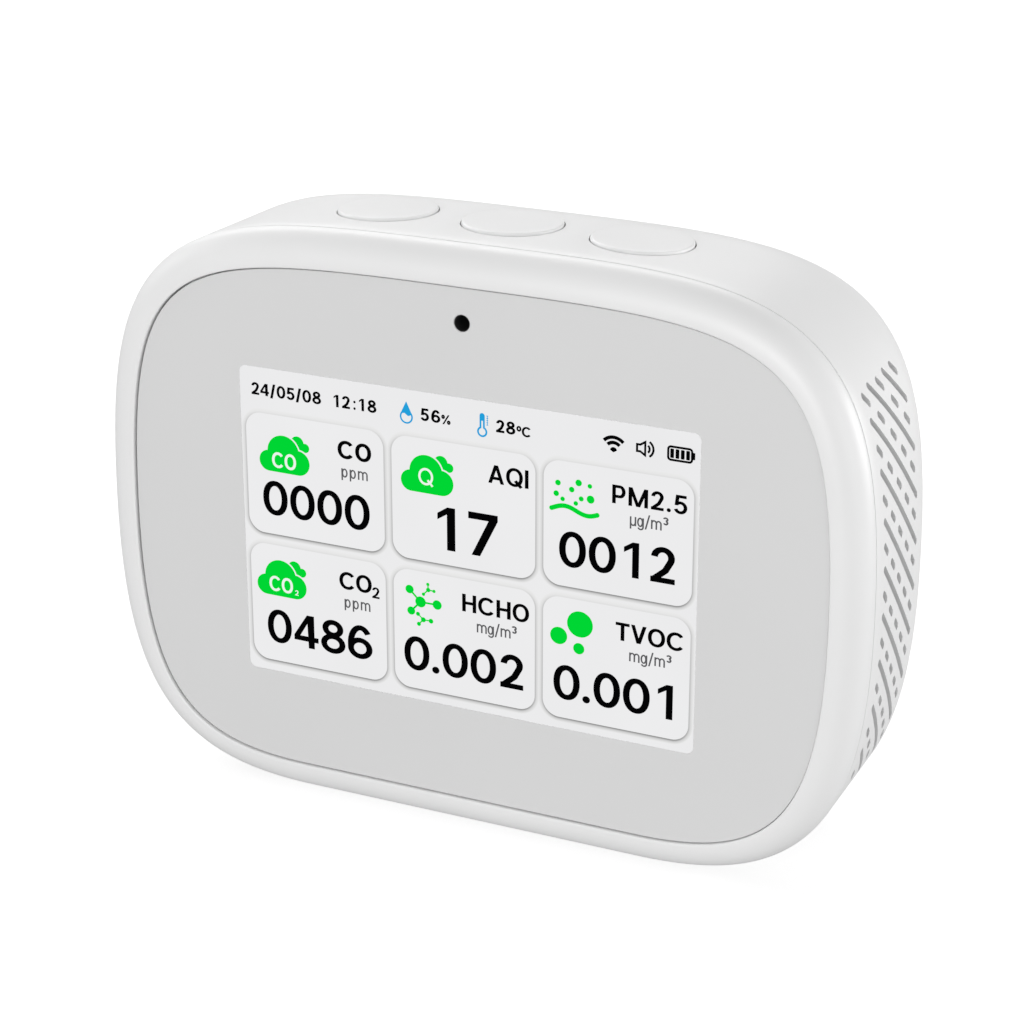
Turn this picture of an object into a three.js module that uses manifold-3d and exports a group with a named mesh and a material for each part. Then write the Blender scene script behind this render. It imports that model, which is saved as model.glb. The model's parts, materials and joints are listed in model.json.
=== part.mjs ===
// Desktop air quality monitor: a rounded white case with a colour screen behind a flat front panel,
// three round buttons on top and an air vent in each side wall.
//
// Millimetres. +X is right and +Z up for somebody facing the screen, and the screen faces -Y.
// The origin is at the middle of the base.  Most places are given as (x, depth, height):
// depth is measured back from the front face, and height up from the middle of the screen.

import * as THREE from 'three';
import { mergeVertices } from 'three/addons/utils/BufferGeometryUtils.js';
import Module from 'manifold-3d';

const wasm = await Module();
wasm.setup();

// ---------------------------------------------------------------- driving dimensions

const DEPTH = 35;                 // whole object, front face to back face
const FRONT_Y = -DEPTH / 2;
const BORDER = 5.43;              // how far the side walls stand outside the panel opening
const WALL = 2;
const GAP = 0.3;                  // clearance between neighbours that nearly touch
const THIN_GAP = 0.1;             // clearance between flat faces that rest on each other

const OPENING_FOOT = 39.12;       // panel opening: below, above and beside the screen's middle
const OPENING_TOP = 40.63;
const OPENING_SIDE = 55.96;
const WIDEST_HEIGHT = -0.84;      // the opening is widest just under the screen's middle
const FLAT_FOOT = 27.58;          // half the straight stretch along the bottom
const FOOT_REACH = 21.36;         // handles of the two curves that make up each side
const FOOT_RISE = 30.11;
const SIDE_RISE = 41.47;
const CROWN_REACH = 46.32;
const SCREEN_Z = OPENING_FOOT + BORDER;

const PARTING = 4.5;              // depth where the front frame ends and the rear housing starts
const FRONT_RADIUS = 4.42;
const REAR_ROUND_SIDE = 6.5;      // rear edge: how far it comes in, and over what depth
const REAR_ROUND_DEPTH = 9.8;
const TAPER = 0.43;               // side and top walls lean in this much towards the back

const PANEL = { recess: 0.4, thickness: 1.5, clearance: 0.3 };
const OPENING = { foot: 0.55, rest: 0.15 };   // how far outside the outline the opening is cut
const LIP = { thickness: 1.2, reach: 2 };     // inner lip of the frame, inside the housing
const LEDGE = { front: 2.3, back: 3.5 };
const SCREEN = { width: 73.44, height: 48.96 };
const MODULE = { width: 82.9, height: 54.6, thickness: 2.3 };
const SENSOR_HOLE = { height: 35.4, radius: 1.25 };

const BUTTON = { radius: 7.5, pitch: 20.4, depth: 17.5, proud: 0.45, travel: 0.5 };
const BUTTON_FOOT = { flange: 8.7, height: 42.2, stem: 1.5 };
const BOARD = { depth: 7, thickness: 1.6, half: 49, top: 32.5, foot: -33.5 };
const BOARD_BACK = BOARD.depth + BOARD.thickness;
const SCREW_POSTS = [[-46.5, 30.5], [46.5, 30.5], [-46.5, -28.5], [46.5, -28.5]];
const BOARD_POSTS = [[-46, 12], [46, 12], [-46, -12], [46, -12]];
const POST = { boss: 3.2, tower: 3.75, standoff: 2.5, bossPilot: 1.35, standoffPilot: 1 };
const POST_JOINT = 16;            // depth where the front bosses meet the rear screw towers
const SCREW_SEAT = 24;
const SCREW_HOLE = { radius: 1.5, counterbore: 2.8 };

const VENT = { front: 8.2, back: 24.6, top: 31, foot: -29.5, pitch: 7.1, width: 1.05 };
const VENT_FIRST = 54.5;          // depth plus height along the vent's first slanted line
const DASH = { pitch: 3.43, length: 2.8 };

// ---------------------------------------------------------------- materials

function paint(color, roughness, metalness = 0) {
  return new THREE.MeshStandardMaterial({ color, roughness, metalness });
}

const WHITE = paint(0xebebea, 0.42);
const PANEL_GREY = paint(0xd6d6d6, 0.2);
const SCREEN_GLASS = paint(0xeeeeee, 0.15);
const BLACK = paint(0x1c1c1e, 0.6);
const FOAM = paint(0x3a3a3c, 0.95);
const BOARD_GREEN = paint(0x1f5a38, 0.5);
const STEEL = paint(0xb9bcc0, 0.35, 1);
const MESH_GREY = paint(0x8c8d8f, 0.6, 0.5);
const FLEX = paint(0xb5762c, 0.4);
const CELL = paint(0xc7ccd2, 0.45, 0.3);
const SENSOR_WHITE = paint(0xf0efe8, 0.5);
const LEAD_RED = paint(0xa3262a, 0.5);

// ---------------------------------------------------------------- outline of the case

// The opening's right-hand half, from the middle of the foot round to the middle of the crown.
const footLine = new THREE.LineCurve(
  new THREE.Vector2(0, -OPENING_FOOT),
  new THREE.Vector2(FLAT_FOOT, -OPENING_FOOT),
);
const footCurve = new THREE.CubicBezierCurve(
  new THREE.Vector2(FLAT_FOOT, -OPENING_FOOT),
  new THREE.Vector2(FLAT_FOOT + FOOT_REACH, -OPENING_FOOT),
  new THREE.Vector2(OPENING_SIDE, WIDEST_HEIGHT - FOOT_RISE),
  new THREE.Vector2(OPENING_SIDE, WIDEST_HEIGHT),
);
const crownCurve = new THREE.CubicBezierCurve(
  new THREE.Vector2(OPENING_SIDE, WIDEST_HEIGHT),
  new THREE.Vector2(OPENING_SIDE, WIDEST_HEIGHT + SIDE_RISE),
  new THREE.Vector2(CROWN_REACH, OPENING_TOP),
  new THREE.Vector2(0, OPENING_TOP),
);

function samples(curve, steps) {
  return Array.from({ length: steps }, (_, i) => {
    const point = curve.getPoint(i / steps);
    const tangent = curve.getTangent(i / steps);
    return { x: point.x, z: point.y, nx: tangent.y, nz: -tangent.x };
  });
}

const rightHalf = [...samples(footLine, 1), ...samples(footCurve, 8), ...samples(crownCurve, 13)];
const crownPoint = { x: 0, z: OPENING_TOP, nx: 0, nz: 1 };
const leftHalf = rightHalf.slice(1).reverse().map(({ x, z, nx, nz }) => ({ x: -x, z, nx: -nx, nz }));
const OUTLINE = [...rightHalf, crownPoint, ...leftHalf];

// A closed solid through copies of the outline, each [offset, depth, lean], from the front to the
// back. The lean pulls in the sides and the top but fades out at the foot, which stays level.
function loft(sections) {
  const count = OUTLINE.length;
  const vertices = [];
  const triangles = [];
  for (const [offset, depth, lean = 0] of sections) {
    for (const { x, z, nx, nz } of OUTLINE) {
      const out = offset - lean * Math.min(1, 1 + nz);
      vertices.push(x + nx * out, FRONT_Y + depth, SCREEN_Z + z + nz * out);
    }
  }
  const frontCentre = vertices.length / 3;
  vertices.push(0, FRONT_Y + sections[0][1], SCREEN_Z);
  vertices.push(0, FRONT_Y + sections.at(-1)[1], SCREEN_Z);
  const lastRing = (sections.length - 1) * count;
  for (let i = 0; i < count; i++) {
    const next = (i + 1) % count;
    triangles.push(frontCentre, i, next);
    triangles.push(frontCentre + 1, lastRing + next, lastRing + i);
    for (let ring = 0; ring < lastRing; ring += count) {
      triangles.push(ring + i, ring + count + i, ring + next);
      triangles.push(ring + next, ring + count + i, ring + count + next);
    }
  }
  const geometry = new THREE.BufferGeometry();
  geometry.setAttribute('position', new THREE.Float32BufferAttribute(vertices, 3));
  geometry.setIndex(triangles);
  return solid(geometry);
}

// ---------------------------------------------------------------- solids

function solid(geometry) {
  const bare = geometry.clone();
  bare.deleteAttribute('normal');
  bare.deleteAttribute('uv');
  const merged = mergeVertices(bare, 1e-5);
  return new wasm.Manifold(new wasm.Mesh({
    numProp: 3,
    vertProperties: new Float32Array(merged.attributes.position.array),
    triVerts: new Uint32Array(merged.index.array),
  }));
}

function geometryOf(body) {
  const { vertProperties, triVerts } = body.getMesh();
  const geometry = new THREE.BufferGeometry();
  geometry.setAttribute('position', new THREE.BufferAttribute(vertProperties, 3));
  geometry.setIndex(new THREE.BufferAttribute(triVerts, 1));
  return geometry;
}

function joined(bodies) {
  return bodies.reduce((whole, body) => whole.add(body));
}

function cut(body, cutters) {
  return cutters.reduce((rest, cutter) => rest.subtract(cutter), body);
}

// A box between two corners, each [x, depth, height].
function block([x0, depth0, z0], [x1, depth1, z1]) {
  const geometry = new THREE.BoxGeometry(x1 - x0, depth1 - depth0, z1 - z0);
  const middleY = FRONT_Y + (depth0 + depth1) / 2;
  return solid(geometry.translate((x0 + x1) / 2, middleY, SCREEN_Z + (z0 + z1) / 2));
}

// A round bar that runs from front to back.
function barBack(x, z, radius, depth0, depth1, sides = 16) {
  const geometry = new THREE.CylinderGeometry(radius, radius, depth1 - depth0, sides);
  return solid(geometry.translate(x, FRONT_Y + (depth0 + depth1) / 2, SCREEN_Z + z));
}

// A round bar that stands upright.
function barUp(x, depth, radius, z0, z1, sides = 16) {
  const geometry = new THREE.CylinderGeometry(radius, radius, z1 - z0, sides);
  geometry.rotateX(Math.PI / 2);
  return solid(geometry.translate(x, FRONT_Y + depth, SCREEN_Z + (z0 + z1) / 2));
}

// A flat ribbon of one width across X, whose side view follows points [depth, height].
function ribbon(points, x, width, thickness) {
  const path = points.map(([depth, z]) => new THREE.Vector2(depth, z));
  const sides = path.map((point, i) => {
    const before = path[Math.max(i - 1, 0)];
    const after = path[Math.min(i + 1, path.length - 1)];
    const along = after.clone().sub(before).normalize();
    const across = new THREE.Vector2(-along.y, along.x).multiplyScalar(thickness / 2);
    return [point.clone().add(across), point.clone().sub(across)];
  });
  const outline = [...sides.map((pair) => pair[0]), ...sides.map((pair) => pair[1]).reverse()];
  const geometry = new THREE.ExtrudeGeometry(new THREE.Shape(outline), {
    depth: width, steps: 1, bevelEnabled: false,
  });
  // The shape's own X, Y and Z become depth, height and X.
  geometry.applyMatrix4(new THREE.Matrix4().makeBasis(
    new THREE.Vector3(0, 1, 0), new THREE.Vector3(0, 0, 1), new THREE.Vector3(1, 0, 0),
  ));
  return solid(geometry.translate(x - width / 2, FRONT_Y, SCREEN_Z));
}

// A round lead through points [x, depth, height].
function lead(points, radius) {
  const path = new THREE.CatmullRomCurve3(
    points.map(([x, depth, z]) => new THREE.Vector3(x, FRONT_Y + depth, SCREEN_Z + z)),
  );
  const section = new THREE.Shape();
  section.absarc(0, 0, radius, 0, 2 * Math.PI);
  return solid(new THREE.ExtrudeGeometry(section, {
    steps: 14, curveSegments: 4, extrudePath: path,
  }));
}

const object = new THREE.Group();

function add(name, body, material) {
  const mesh = new THREE.Mesh(geometryOf(body), material);
  mesh.name = name;
  object.add(mesh);
}

// ---------------------------------------------------------------- case

// A quarter ellipse as sections: it starts along the wall at [offset, depth] and turns inwards.
function quarterRound(offset, depth, acrossBy, depthBy, steps, lean = 0) {
  return Array.from({ length: steps + 1 }, (_, i) => {
    const angle = (i / steps) * Math.PI / 2;
    return [offset - acrossBy * (1 - Math.cos(angle)), depth + depthBy * Math.sin(angle), lean];
  });
}

const rearStart = DEPTH - REAR_ROUND_DEPTH;
const inside = BORDER - WALL;
const outerBody = loft([
  [BORDER, PARTING + THIN_GAP],
  ...quarterRound(BORDER, rearStart, REAR_ROUND_SIDE, REAR_ROUND_DEPTH, 6, TAPER),
]);
const innerBody = loft([
  [inside, PARTING],
  ...quarterRound(inside, rearStart, REAR_ROUND_SIDE - WALL, REAR_ROUND_DEPTH - WALL, 4, TAPER),
]);

// The panel's opening, or what fills it with a clearance all round.
function openingLoft(clearance, front, back) {
  const lean = OPENING.foot - OPENING.rest;
  return loft([front, back].map((depth) => [OPENING.foot - clearance, depth, lean]));
}

function frontBezel() {
  const rounding = quarterRound(BORDER, FRONT_RADIUS, FRONT_RADIUS, -FRONT_RADIUS, 6).reverse();
  const lipOuter = inside - GAP;
  const lipInner = lipOuter - LIP.thickness;
  const lipBack = PARTING + LIP.reach;
  const rim = loft([...rounding, [BORDER, PARTING]]);
  const lip = loft([[lipOuter, LEDGE.back], [lipOuter, lipBack]]);
  const hollow = loft([[lipInner, LEDGE.back], [lipInner, lipBack + 1]]);
  const pocket = openingLoft(0, -1, LEDGE.front);
  const window = block(
    [-MODULE.width / 2 - GAP, 0, -MODULE.height / 2 - GAP],
    [MODULE.width / 2 + GAP, LEDGE.back + 1, MODULE.height / 2 + GAP],
  );
  const sensorHole = barBack(0, SENSOR_HOLE.height, SENSOR_HOLE.radius, 0, PARTING);
  const shell = cut(rim.add(lip), [hollow, pocket, window, sensorHole]);
  const bosses = SCREW_POSTS.map(([x, z]) => cut(
    barBack(x, z, POST.boss, LEDGE.back - 0.5, POST_JOINT),
    [barBack(x, z, POST.bossPilot, 6, POST_JOINT + 1, 12)],
  ));
  const standoffs = BOARD_POSTS.map(([x, z]) => cut(
    barBack(x, z, POST.standoff, LEDGE.back - 0.5, BOARD.depth - THIN_GAP),
    [barBack(x, z, POST.standoffPilot, 4.2, BOARD.depth + 1, 12)],
  ));
  return joined([shell, ...bosses, ...standoffs]);
}

// Cutters for one side wall's vent: slanted slots, with chains of short dashes between them.
function ventCutters(side) {
  const cutters = [];
  const slot = (depth0, depth1, sum) => {
    const length = (depth1 - depth0) * Math.SQRT2;
    const geometry = new THREE.BoxGeometry(16, length, VENT.width);
    geometry.rotateX(-Math.PI / 4);
    const depth = (depth0 + depth1) / 2;
    geometry.translate(side * 59, FRONT_Y + depth, SCREEN_Z + sum - depth);
    cutters.push(solid(geometry));
  };
  const dashDepth = DASH.length / Math.SQRT2;
  for (let sum = VENT_FIRST; sum > VENT.foot + VENT.front; sum -= VENT.pitch) {
    const longSum = sum - 5;
    const start = Math.max(VENT.front, longSum - VENT.top);
    const end = Math.min(VENT.back, longSum - VENT.foot);
    if (end - start > dashDepth) slot(start, end, longSum);
    const chainSum = sum - 1.6;
    for (let depth = VENT.front; depth + dashDepth <= VENT.back + 0.5; depth += DASH.pitch) {
      const height = chainSum - depth;
      if (height <= VENT.top && height - dashDepth >= VENT.foot) {
        slot(depth, depth + dashDepth, chainSum);
      }
    }
  }
  return cutters;
}

const USB = { height: -30.5, width: 8.94, thickness: 3.26, length: 7.4 };

function rearHousing() {
  const towers = SCREW_POSTS.map(([x, z]) => (
    barBack(x, z, POST.tower, POST_JOINT + GAP, DEPTH - WALL / 2)
  ));
  const screwHoles = SCREW_POSTS.flatMap(([x, z]) => [
    barBack(x, z, SCREW_HOLE.radius, POST_JOINT, SCREW_SEAT + 1, 12),
    barBack(x, z, SCREW_HOLE.counterbore, SCREW_SEAT, DEPTH + 1),
  ]);
  const buttonHoles = [-1, 0, 1].map((place) => (
    barUp(place * BUTTON.pitch, BUTTON.depth, BUTTON.radius + 0.2, 36, 50, 30)
  ));
  const chargeRests = [-8.5, 8.5].map((x) => (
    block([x - 1.5, 21, -43.5], [x + 1.5, 31, USB.height - 1.9 - 1 - THIN_GAP])
  ));
  const boardHangers = [-1, 1].map((side) => cut(
    block([side * 31.8 - 2, 12, 33.2], [side * 31.8 + 2, 22, 46]),
    [block([side * 30.2 - 2.6, 10, 34.6], [side * 30.2 + 2.6, 23, 36.2])],
  ));
  const usbHole = block(
    [-USB.width / 2 - GAP, DEPTH - WALL - 1, USB.height - USB.thickness / 2 - GAP],
    [USB.width / 2 + GAP, DEPTH + 1, USB.height + USB.thickness / 2 + GAP],
  );
  const fittings = joined([...towers, ...chargeRests, ...boardHangers]).intersect(outerBody);
  const whole = outerBody.subtract(innerBody).add(fittings);
  return cut(whole, [...screwHoles, ...buttonHoles, usbHole, ...ventCutters(-1), ...ventCutters(1)]);
}

// A thin dust screen that follows the inside of a side wall over the vent.
function ventMesh(side) {
  const outer = inside - GAP;
  const inner = outer - 0.4;
  const band = loft([[outer, VENT.front - 1.2, TAPER], [outer, VENT.back + 1, TAPER]]);
  const hollow = loft([[inner, VENT.front - 2, TAPER], [inner, VENT.back + 2, TAPER]]);
  const middle = side * 57;
  const reach = block([middle - 9, 5, -31.5], [middle + 9, 27, 32.5]);
  return band.subtract(hollow).intersect(reach);
}

add('front_bezel', frontBezel(), WHITE);
add('rear_housing', rearHousing(), WHITE);
add('vent_mesh_left', ventMesh(-1), MESH_GREY);
add('vent_mesh_right', ventMesh(1), MESH_GREY);

// ---------------------------------------------------------------- front panel and screen

const panelBack = PANEL.recess + PANEL.thickness;
add('front_panel', cut(
  openingLoft(PANEL.clearance, PANEL.recess, panelBack),
  [barBack(0, SENSOR_HOLE.height, SENSOR_HOLE.radius, 0, 3)],
), PANEL_GREY);
add('panel_tape', cut(
  loft([[-0.6, panelBack + 0.05], [-0.6, LEDGE.front - 0.05]]),
  [
    loft([[-3.6, panelBack - 1], [-3.6, LEDGE.front + 1]]),
    barBack(0, SENSOR_HOLE.height, SENSOR_HOLE.radius + 0.3, 0, 3),
  ],
), FOAM);

const moduleFront = panelBack + THIN_GAP;
const moduleBack = moduleFront + MODULE.thickness;
add('display_module', block(
  [-MODULE.width / 2, moduleFront, -MODULE.height / 2],
  [MODULE.width / 2, moduleBack, MODULE.height / 2],
), SCREEN_GLASS);
add('display_frame', cut(
  block([-43, moduleBack + THIN_GAP, -29], [43, moduleBack + 0.7, 29]),
  [block([-36, 0, -23], [36, 8, 23])],
), STEEL);
add('display_flex', ribbon(
  [[4.65, -16], [4.65, -20], [5.6, -22.5], [5.6, -31], [7.6, -31.8], [9.6, -31], [9.6, -25]],
  0, 16, 0.25,
), FLEX);

add('sensor_sleeve', cut(
  barBack(0, SENSOR_HOLE.height, 2.5, LEDGE.back + THIN_GAP, 5.6),
  [barBack(0, SENSOR_HOLE.height, SENSOR_HOLE.radius, 0, 8)],
), BLACK);
add('light_sensor', block(
  [-1.5, 5.7, SENSOR_HOLE.height - 1.5], [1.5, BOARD.depth - THIN_GAP, SENSOR_HOLE.height + 1.5],
), BLACK);

// ---------------------------------------------------------------- main board and what sits on it

function mainBoard() {
  const corner = 8;
  const plate = block(
    [-BOARD.half, BOARD.depth, BOARD.foot], [BOARD.half, BOARD_BACK, BOARD.top],
  );
  const tab = block([-5, BOARD.depth, BOARD.top - 1], [5, BOARD_BACK, SENSOR_HOLE.height + 2.5]);
  const notches = [-1, 1].flatMap((side) => [[BOARD.foot - 1, BOARD.foot + 9.5], [25.5, 40]].map(
    ([low, high]) => block(
      [side > 0 ? BOARD.half - corner : -60, 0, low],
      [side > 0 ? 60 : corner - BOARD.half, 20, high],
    ),
  ));
  const flexSlot = block([-8.6, 0, BOARD.foot - 1], [8.6, 20, -30]);
  const screwHoles = BOARD_POSTS.map(([x, z]) => barBack(x, z, 1.2, 0, 20, 12));
  return cut(plate.add(tab), [...notches, flexSlot, ...screwHoles]);
}

const partFront = BOARD_BACK + THIN_GAP;      // everything on the board's back starts here

add('main_board', mainBoard(), BOARD_GREEN);
add('processor_shield', block([-30, partFront, -10], [-10, partFront + 2.4, 8]), STEEL);
add('wifi_module', block([-38, partFront, 10], [-20, partFront + 2.8, 31.5]), STEEL);
add('buzzer', cut(
  barBack(14, -24, 6, partFront, partFront + 6.5, 24),
  [barBack(14, -24, 1, partFront + 4, partFront + 8, 12)],
), BLACK);
add('co2_sensor', block([7, partFront, 8], [40, partFront + 9, 28]), SENSOR_WHITE);
add('co_sensor', barBack(15, -6, 8, partFront, partFront + 13, 28), SENSOR_WHITE);
add('hcho_sensor', block([26, partFront, -9], [42, partFront + 7, 5]), SENSOR_WHITE);
add('tvoc_sensor', barBack(33, -19, 4.6, partFront, partFront + 6, 20), STEEL);
add('climate_sensor', block([44.5, partFront, -21], [47.5, partFront + 1.1, -18]), BLACK);

// ---------------------------------------------------------------- particle sensor with its fan

const DUCT = { left: -46, right: -8, foot: -18, top: 17, front: 12, back: 24 };
const FAN = { x: -20, height: 3, well: 10, tip: 9.3, hub: 3.6, front: 15, back: 22.4 };

function particleCase() {
  const body = block([DUCT.left, DUCT.front, DUCT.foot], [DUCT.right, DUCT.back - 1, DUCT.top]);
  const fanWell = barBack(FAN.x, FAN.height, FAN.well, FAN.front - 0.8, DUCT.back, 32);
  const airPath = block(
    [DUCT.left - 1, FAN.front, DUCT.foot + 4], [FAN.x, DUCT.back, DUCT.foot + 11],
  );
  const rise = block([FAN.x - 4, FAN.front, DUCT.foot + 10], [FAN.x + 4, DUCT.back, FAN.height]);
  const bearing = barBack(FAN.x, FAN.height, 1, DUCT.front + 1, DUCT.back, 12);
  return cut(body, [fanWell, airPath, rise, bearing]);
}

function particleCover() {
  const plate = block(
    [DUCT.left, DUCT.back - 1 + THIN_GAP, DUCT.foot], [DUCT.right, DUCT.back, DUCT.top],
  );
  const outlets = Array.from({ length: 6 }, (_, i) => {
    const angle = i * Math.PI / 3;
    const x = FAN.x + 6 * Math.cos(angle);
    return barBack(x, FAN.height + 6 * Math.sin(angle), 1.8, DUCT.front, DUCT.back + 1, 12);
  });
  return cut(plate, outlets);
}

function fanRotor() {
  const hub = barBack(FAN.x, FAN.height, FAN.hub, FAN.front, FAN.back, 24);
  const axle = barBack(FAN.x, FAN.height, 0.7, DUCT.front + 1.4, FAN.front + 1, 12);
  const blades = Array.from({ length: 9 }, (_, i) => {
    const blade = new THREE.BoxGeometry(FAN.tip - FAN.hub + 1, FAN.back - FAN.front - 2, 0.7);
    blade.rotateX(0.5);
    blade.translate((FAN.tip + FAN.hub - 1) / 2, FRONT_Y + (FAN.front + FAN.back) / 2, 0);
    blade.rotateY(i * 2 * Math.PI / 9);
    return solid(blade.translate(FAN.x, 0, SCREEN_Z + FAN.height));
  });
  return joined([hub, axle, ...blades]);
}

add('particle_sensor_case', particleCase(), BLACK);
add('particle_sensor_cover', particleCover(), STEEL);
add('particle_sensor_fan', fanRotor(), BLACK);

// ---------------------------------------------------------------- battery and charging

const CELL_BACK = 32.2;
add('battery', block([-25, CELL_BACK - 5.8, -13], [25, CELL_BACK, 21]), CELL);
add('battery_pad', block(
  [-20, CELL_BACK + THIN_GAP, -9], [20, DEPTH - WALL - THIN_GAP, 17],
), FOAM);
add('battery_socket', block([-16, partFront, 18.5], [-9, partFront + 4.6, 23.5]), SENSOR_WHITE);
add('battery_lead', lead(
  [[-12.5, 30, 21.4], [-12.5, 29, 24], [-12.5, 24, 25.5], [-12.5, 18, 22], [-12.5, 13.6, 21]], 0.9,
), LEAD_RED);

const chargeTop = USB.height - USB.thickness / 2 - THIN_GAP;
add('charge_board', block([-12, 19, chargeTop - 1], [12, 31.5, chargeTop]), BOARD_GREEN);
add('usb_socket', cut(
  block(
    [-USB.width / 2, DEPTH - 0.6 - USB.length, USB.height - USB.thickness / 2],
    [USB.width / 2, DEPTH - 0.6, USB.height + USB.thickness / 2],
  ),
  [
    block(
      [-USB.width / 2 + 0.3, DEPTH - USB.length + 0.6, USB.height - USB.thickness / 2 + 0.3],
      [USB.width / 2 - 0.3, DEPTH, USB.height - 0.35],
    ),
    block(
      [-USB.width / 2 + 0.3, DEPTH - USB.length + 0.6, USB.height + 0.35],
      [USB.width / 2 - 0.3, DEPTH, USB.height + USB.thickness / 2 - 0.3],
    ),
    block(
      [-USB.width / 2 + 0.3, DEPTH - 1.6, USB.height - USB.thickness / 2 + 0.3],
      [USB.width / 2 - 0.3, DEPTH, USB.height + USB.thickness / 2 - 0.3],
    ),
  ],
), STEEL);
add('charge_lead', lead(
  [[-9, 20.5, chargeTop + 1.1], [-10, 18, -29.8], [-13, 13, -28], [-14, 9.9, -27]], 0.9,
), LEAD_RED);

// ---------------------------------------------------------------- buttons

const SWITCH = { half: 3, foot: 36.1, top: 39.2, wellRadius: 1.8, pinRadius: 1.5, pinTop: 40.6 };
const switchWell = SWITCH.top - 1.4;

function buttonCap(x) {
  const raised = outerBody.translate([0, 0, BUTTON.proud]);
  const lowered = innerBody.translate([0, 0, -GAP]);
  const { flange: flangeRadius, height: foot, stem: stemRadius } = BUTTON_FOOT;
  const cap = barUp(x, BUTTON.depth, BUTTON.radius, foot, 50, 30).intersect(raised);
  const flange = barUp(x, BUTTON.depth, flangeRadius, foot, 50, 24).intersect(lowered);
  const stem = barUp(x, BUTTON.depth, stemRadius, SWITCH.pinTop + THIN_GAP, foot + 0.8, 16);
  return joined([cap, flange, stem]);
}

function switchBody(x) {
  const body = block(
    [x - SWITCH.half, BUTTON.depth - SWITCH.half, SWITCH.foot],
    [x + SWITCH.half, BUTTON.depth + SWITCH.half, SWITCH.top],
  );
  return body.subtract(barUp(x, BUTTON.depth, SWITCH.wellRadius, switchWell, SWITCH.top + 1, 16));
}

const placeNames = { left: -1, middle: 0, right: 1 };
for (const [place, step] of Object.entries(placeNames)) {
  const x = step * BUTTON.pitch;
  add(`button_${place}`, buttonCap(x), WHITE);
  add(`switch_${place}`, switchBody(x), STEEL);
  add(`switch_pin_${place}`, barUp(
    x, BUTTON.depth, SWITCH.pinRadius, switchWell + BUTTON.travel + 0.2, SWITCH.pinTop, 16,
  ), BLACK);
}
add('button_board', block([-32.4, 11.5, 34.9], [32.4, 22.5, SWITCH.foot - THIN_GAP]), BOARD_GREEN);
add('button_flex', ribbon(
  [[15, 34.6], [11.5, 34.6], [9.6, 33], [9.6, 27]], -0.5, 7, 0.25,
), FLEX);

// ---------------------------------------------------------------- screws

function screw([x, z], seat, headRadius, headHeight, shankRadius, shankLength) {
  const head = barBack(x, z, headRadius, seat, seat + headHeight, 20);
  const shank = barBack(x, z, shankRadius, seat - shankLength, seat + 0.5, 12);
  const recessDepth = headHeight * 0.6;
  const slots = [[1, 0.3], [0.3, 1]].map(([halfX, halfZ]) => block(
    [x - halfX * headRadius * 0.6, seat + headHeight - recessDepth, z - halfZ * headRadius * 0.6],
    [x + halfX * headRadius * 0.6, seat + headHeight + 1, z + halfZ * headRadius * 0.6],
  ));
  return cut(head.add(shank), slots);
}

const cornerNames = ['top_left', 'top_right', 'bottom_left', 'bottom_right'];
cornerNames.forEach((corner, i) => {
  add(`case_screw_${corner}`, screw(SCREW_POSTS[i], SCREW_SEAT + THIN_GAP, 2.3, 1.8, 1.2, 15), STEEL);
  add(`board_screw_${corner}`, screw(BOARD_POSTS[i], partFront, 1.9, 1.3, 0.85, 4), STEEL);
});

export default object;
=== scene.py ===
"""Looks for the tabletop air quality monitor: fine case shells, buttons, panel and the lit screen."""
import json
from math import copysign, cos, pi, radians, sin, sqrt

import bmesh
import bpy
import numpy as np
from mathutils import Matrix, Vector


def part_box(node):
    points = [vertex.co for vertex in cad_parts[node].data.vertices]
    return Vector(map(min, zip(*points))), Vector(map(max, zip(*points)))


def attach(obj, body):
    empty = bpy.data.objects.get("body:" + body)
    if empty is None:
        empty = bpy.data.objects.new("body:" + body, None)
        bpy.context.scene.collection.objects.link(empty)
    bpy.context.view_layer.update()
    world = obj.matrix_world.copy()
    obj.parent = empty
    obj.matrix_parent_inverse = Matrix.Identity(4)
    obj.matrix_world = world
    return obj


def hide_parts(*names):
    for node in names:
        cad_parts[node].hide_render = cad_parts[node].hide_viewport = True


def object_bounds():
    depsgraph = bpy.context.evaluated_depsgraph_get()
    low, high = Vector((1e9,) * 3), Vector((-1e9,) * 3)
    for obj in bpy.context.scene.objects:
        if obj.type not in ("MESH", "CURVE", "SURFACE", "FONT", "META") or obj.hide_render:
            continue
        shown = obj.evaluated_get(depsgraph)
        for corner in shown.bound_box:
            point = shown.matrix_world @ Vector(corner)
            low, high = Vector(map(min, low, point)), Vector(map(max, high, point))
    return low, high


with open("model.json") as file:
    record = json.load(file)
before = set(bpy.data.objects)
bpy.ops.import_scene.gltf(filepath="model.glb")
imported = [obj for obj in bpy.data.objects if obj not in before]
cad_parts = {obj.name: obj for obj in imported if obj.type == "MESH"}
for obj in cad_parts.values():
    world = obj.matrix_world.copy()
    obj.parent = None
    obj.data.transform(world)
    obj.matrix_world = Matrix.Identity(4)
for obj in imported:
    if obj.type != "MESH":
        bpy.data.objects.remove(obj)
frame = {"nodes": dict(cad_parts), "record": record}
cad_low, cad_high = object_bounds()

MM = 0.001

# ---- places from the frame

display_low, display_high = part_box("display_module")
panel_low, panel_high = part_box("front_panel")
bezel_low, bezel_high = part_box("front_bezel")
housing_low, housing_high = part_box("rear_housing")

FRONT_Y = bezel_low.y / MM
SCREEN_Z = (display_low.z + display_high.z) / 2 / MM
BODY_DEPTH = (housing_high.y - bezel_low.y) / MM
PARTING = (housing_low.y - bezel_low.y) / MM


def place(x, depth, height):
    """A point in mm: x, depth behind the front face, and height above the screen's middle."""
    return Vector((x, FRONT_Y + depth, SCREEN_Z + height)) * MM


# ---- camera

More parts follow.
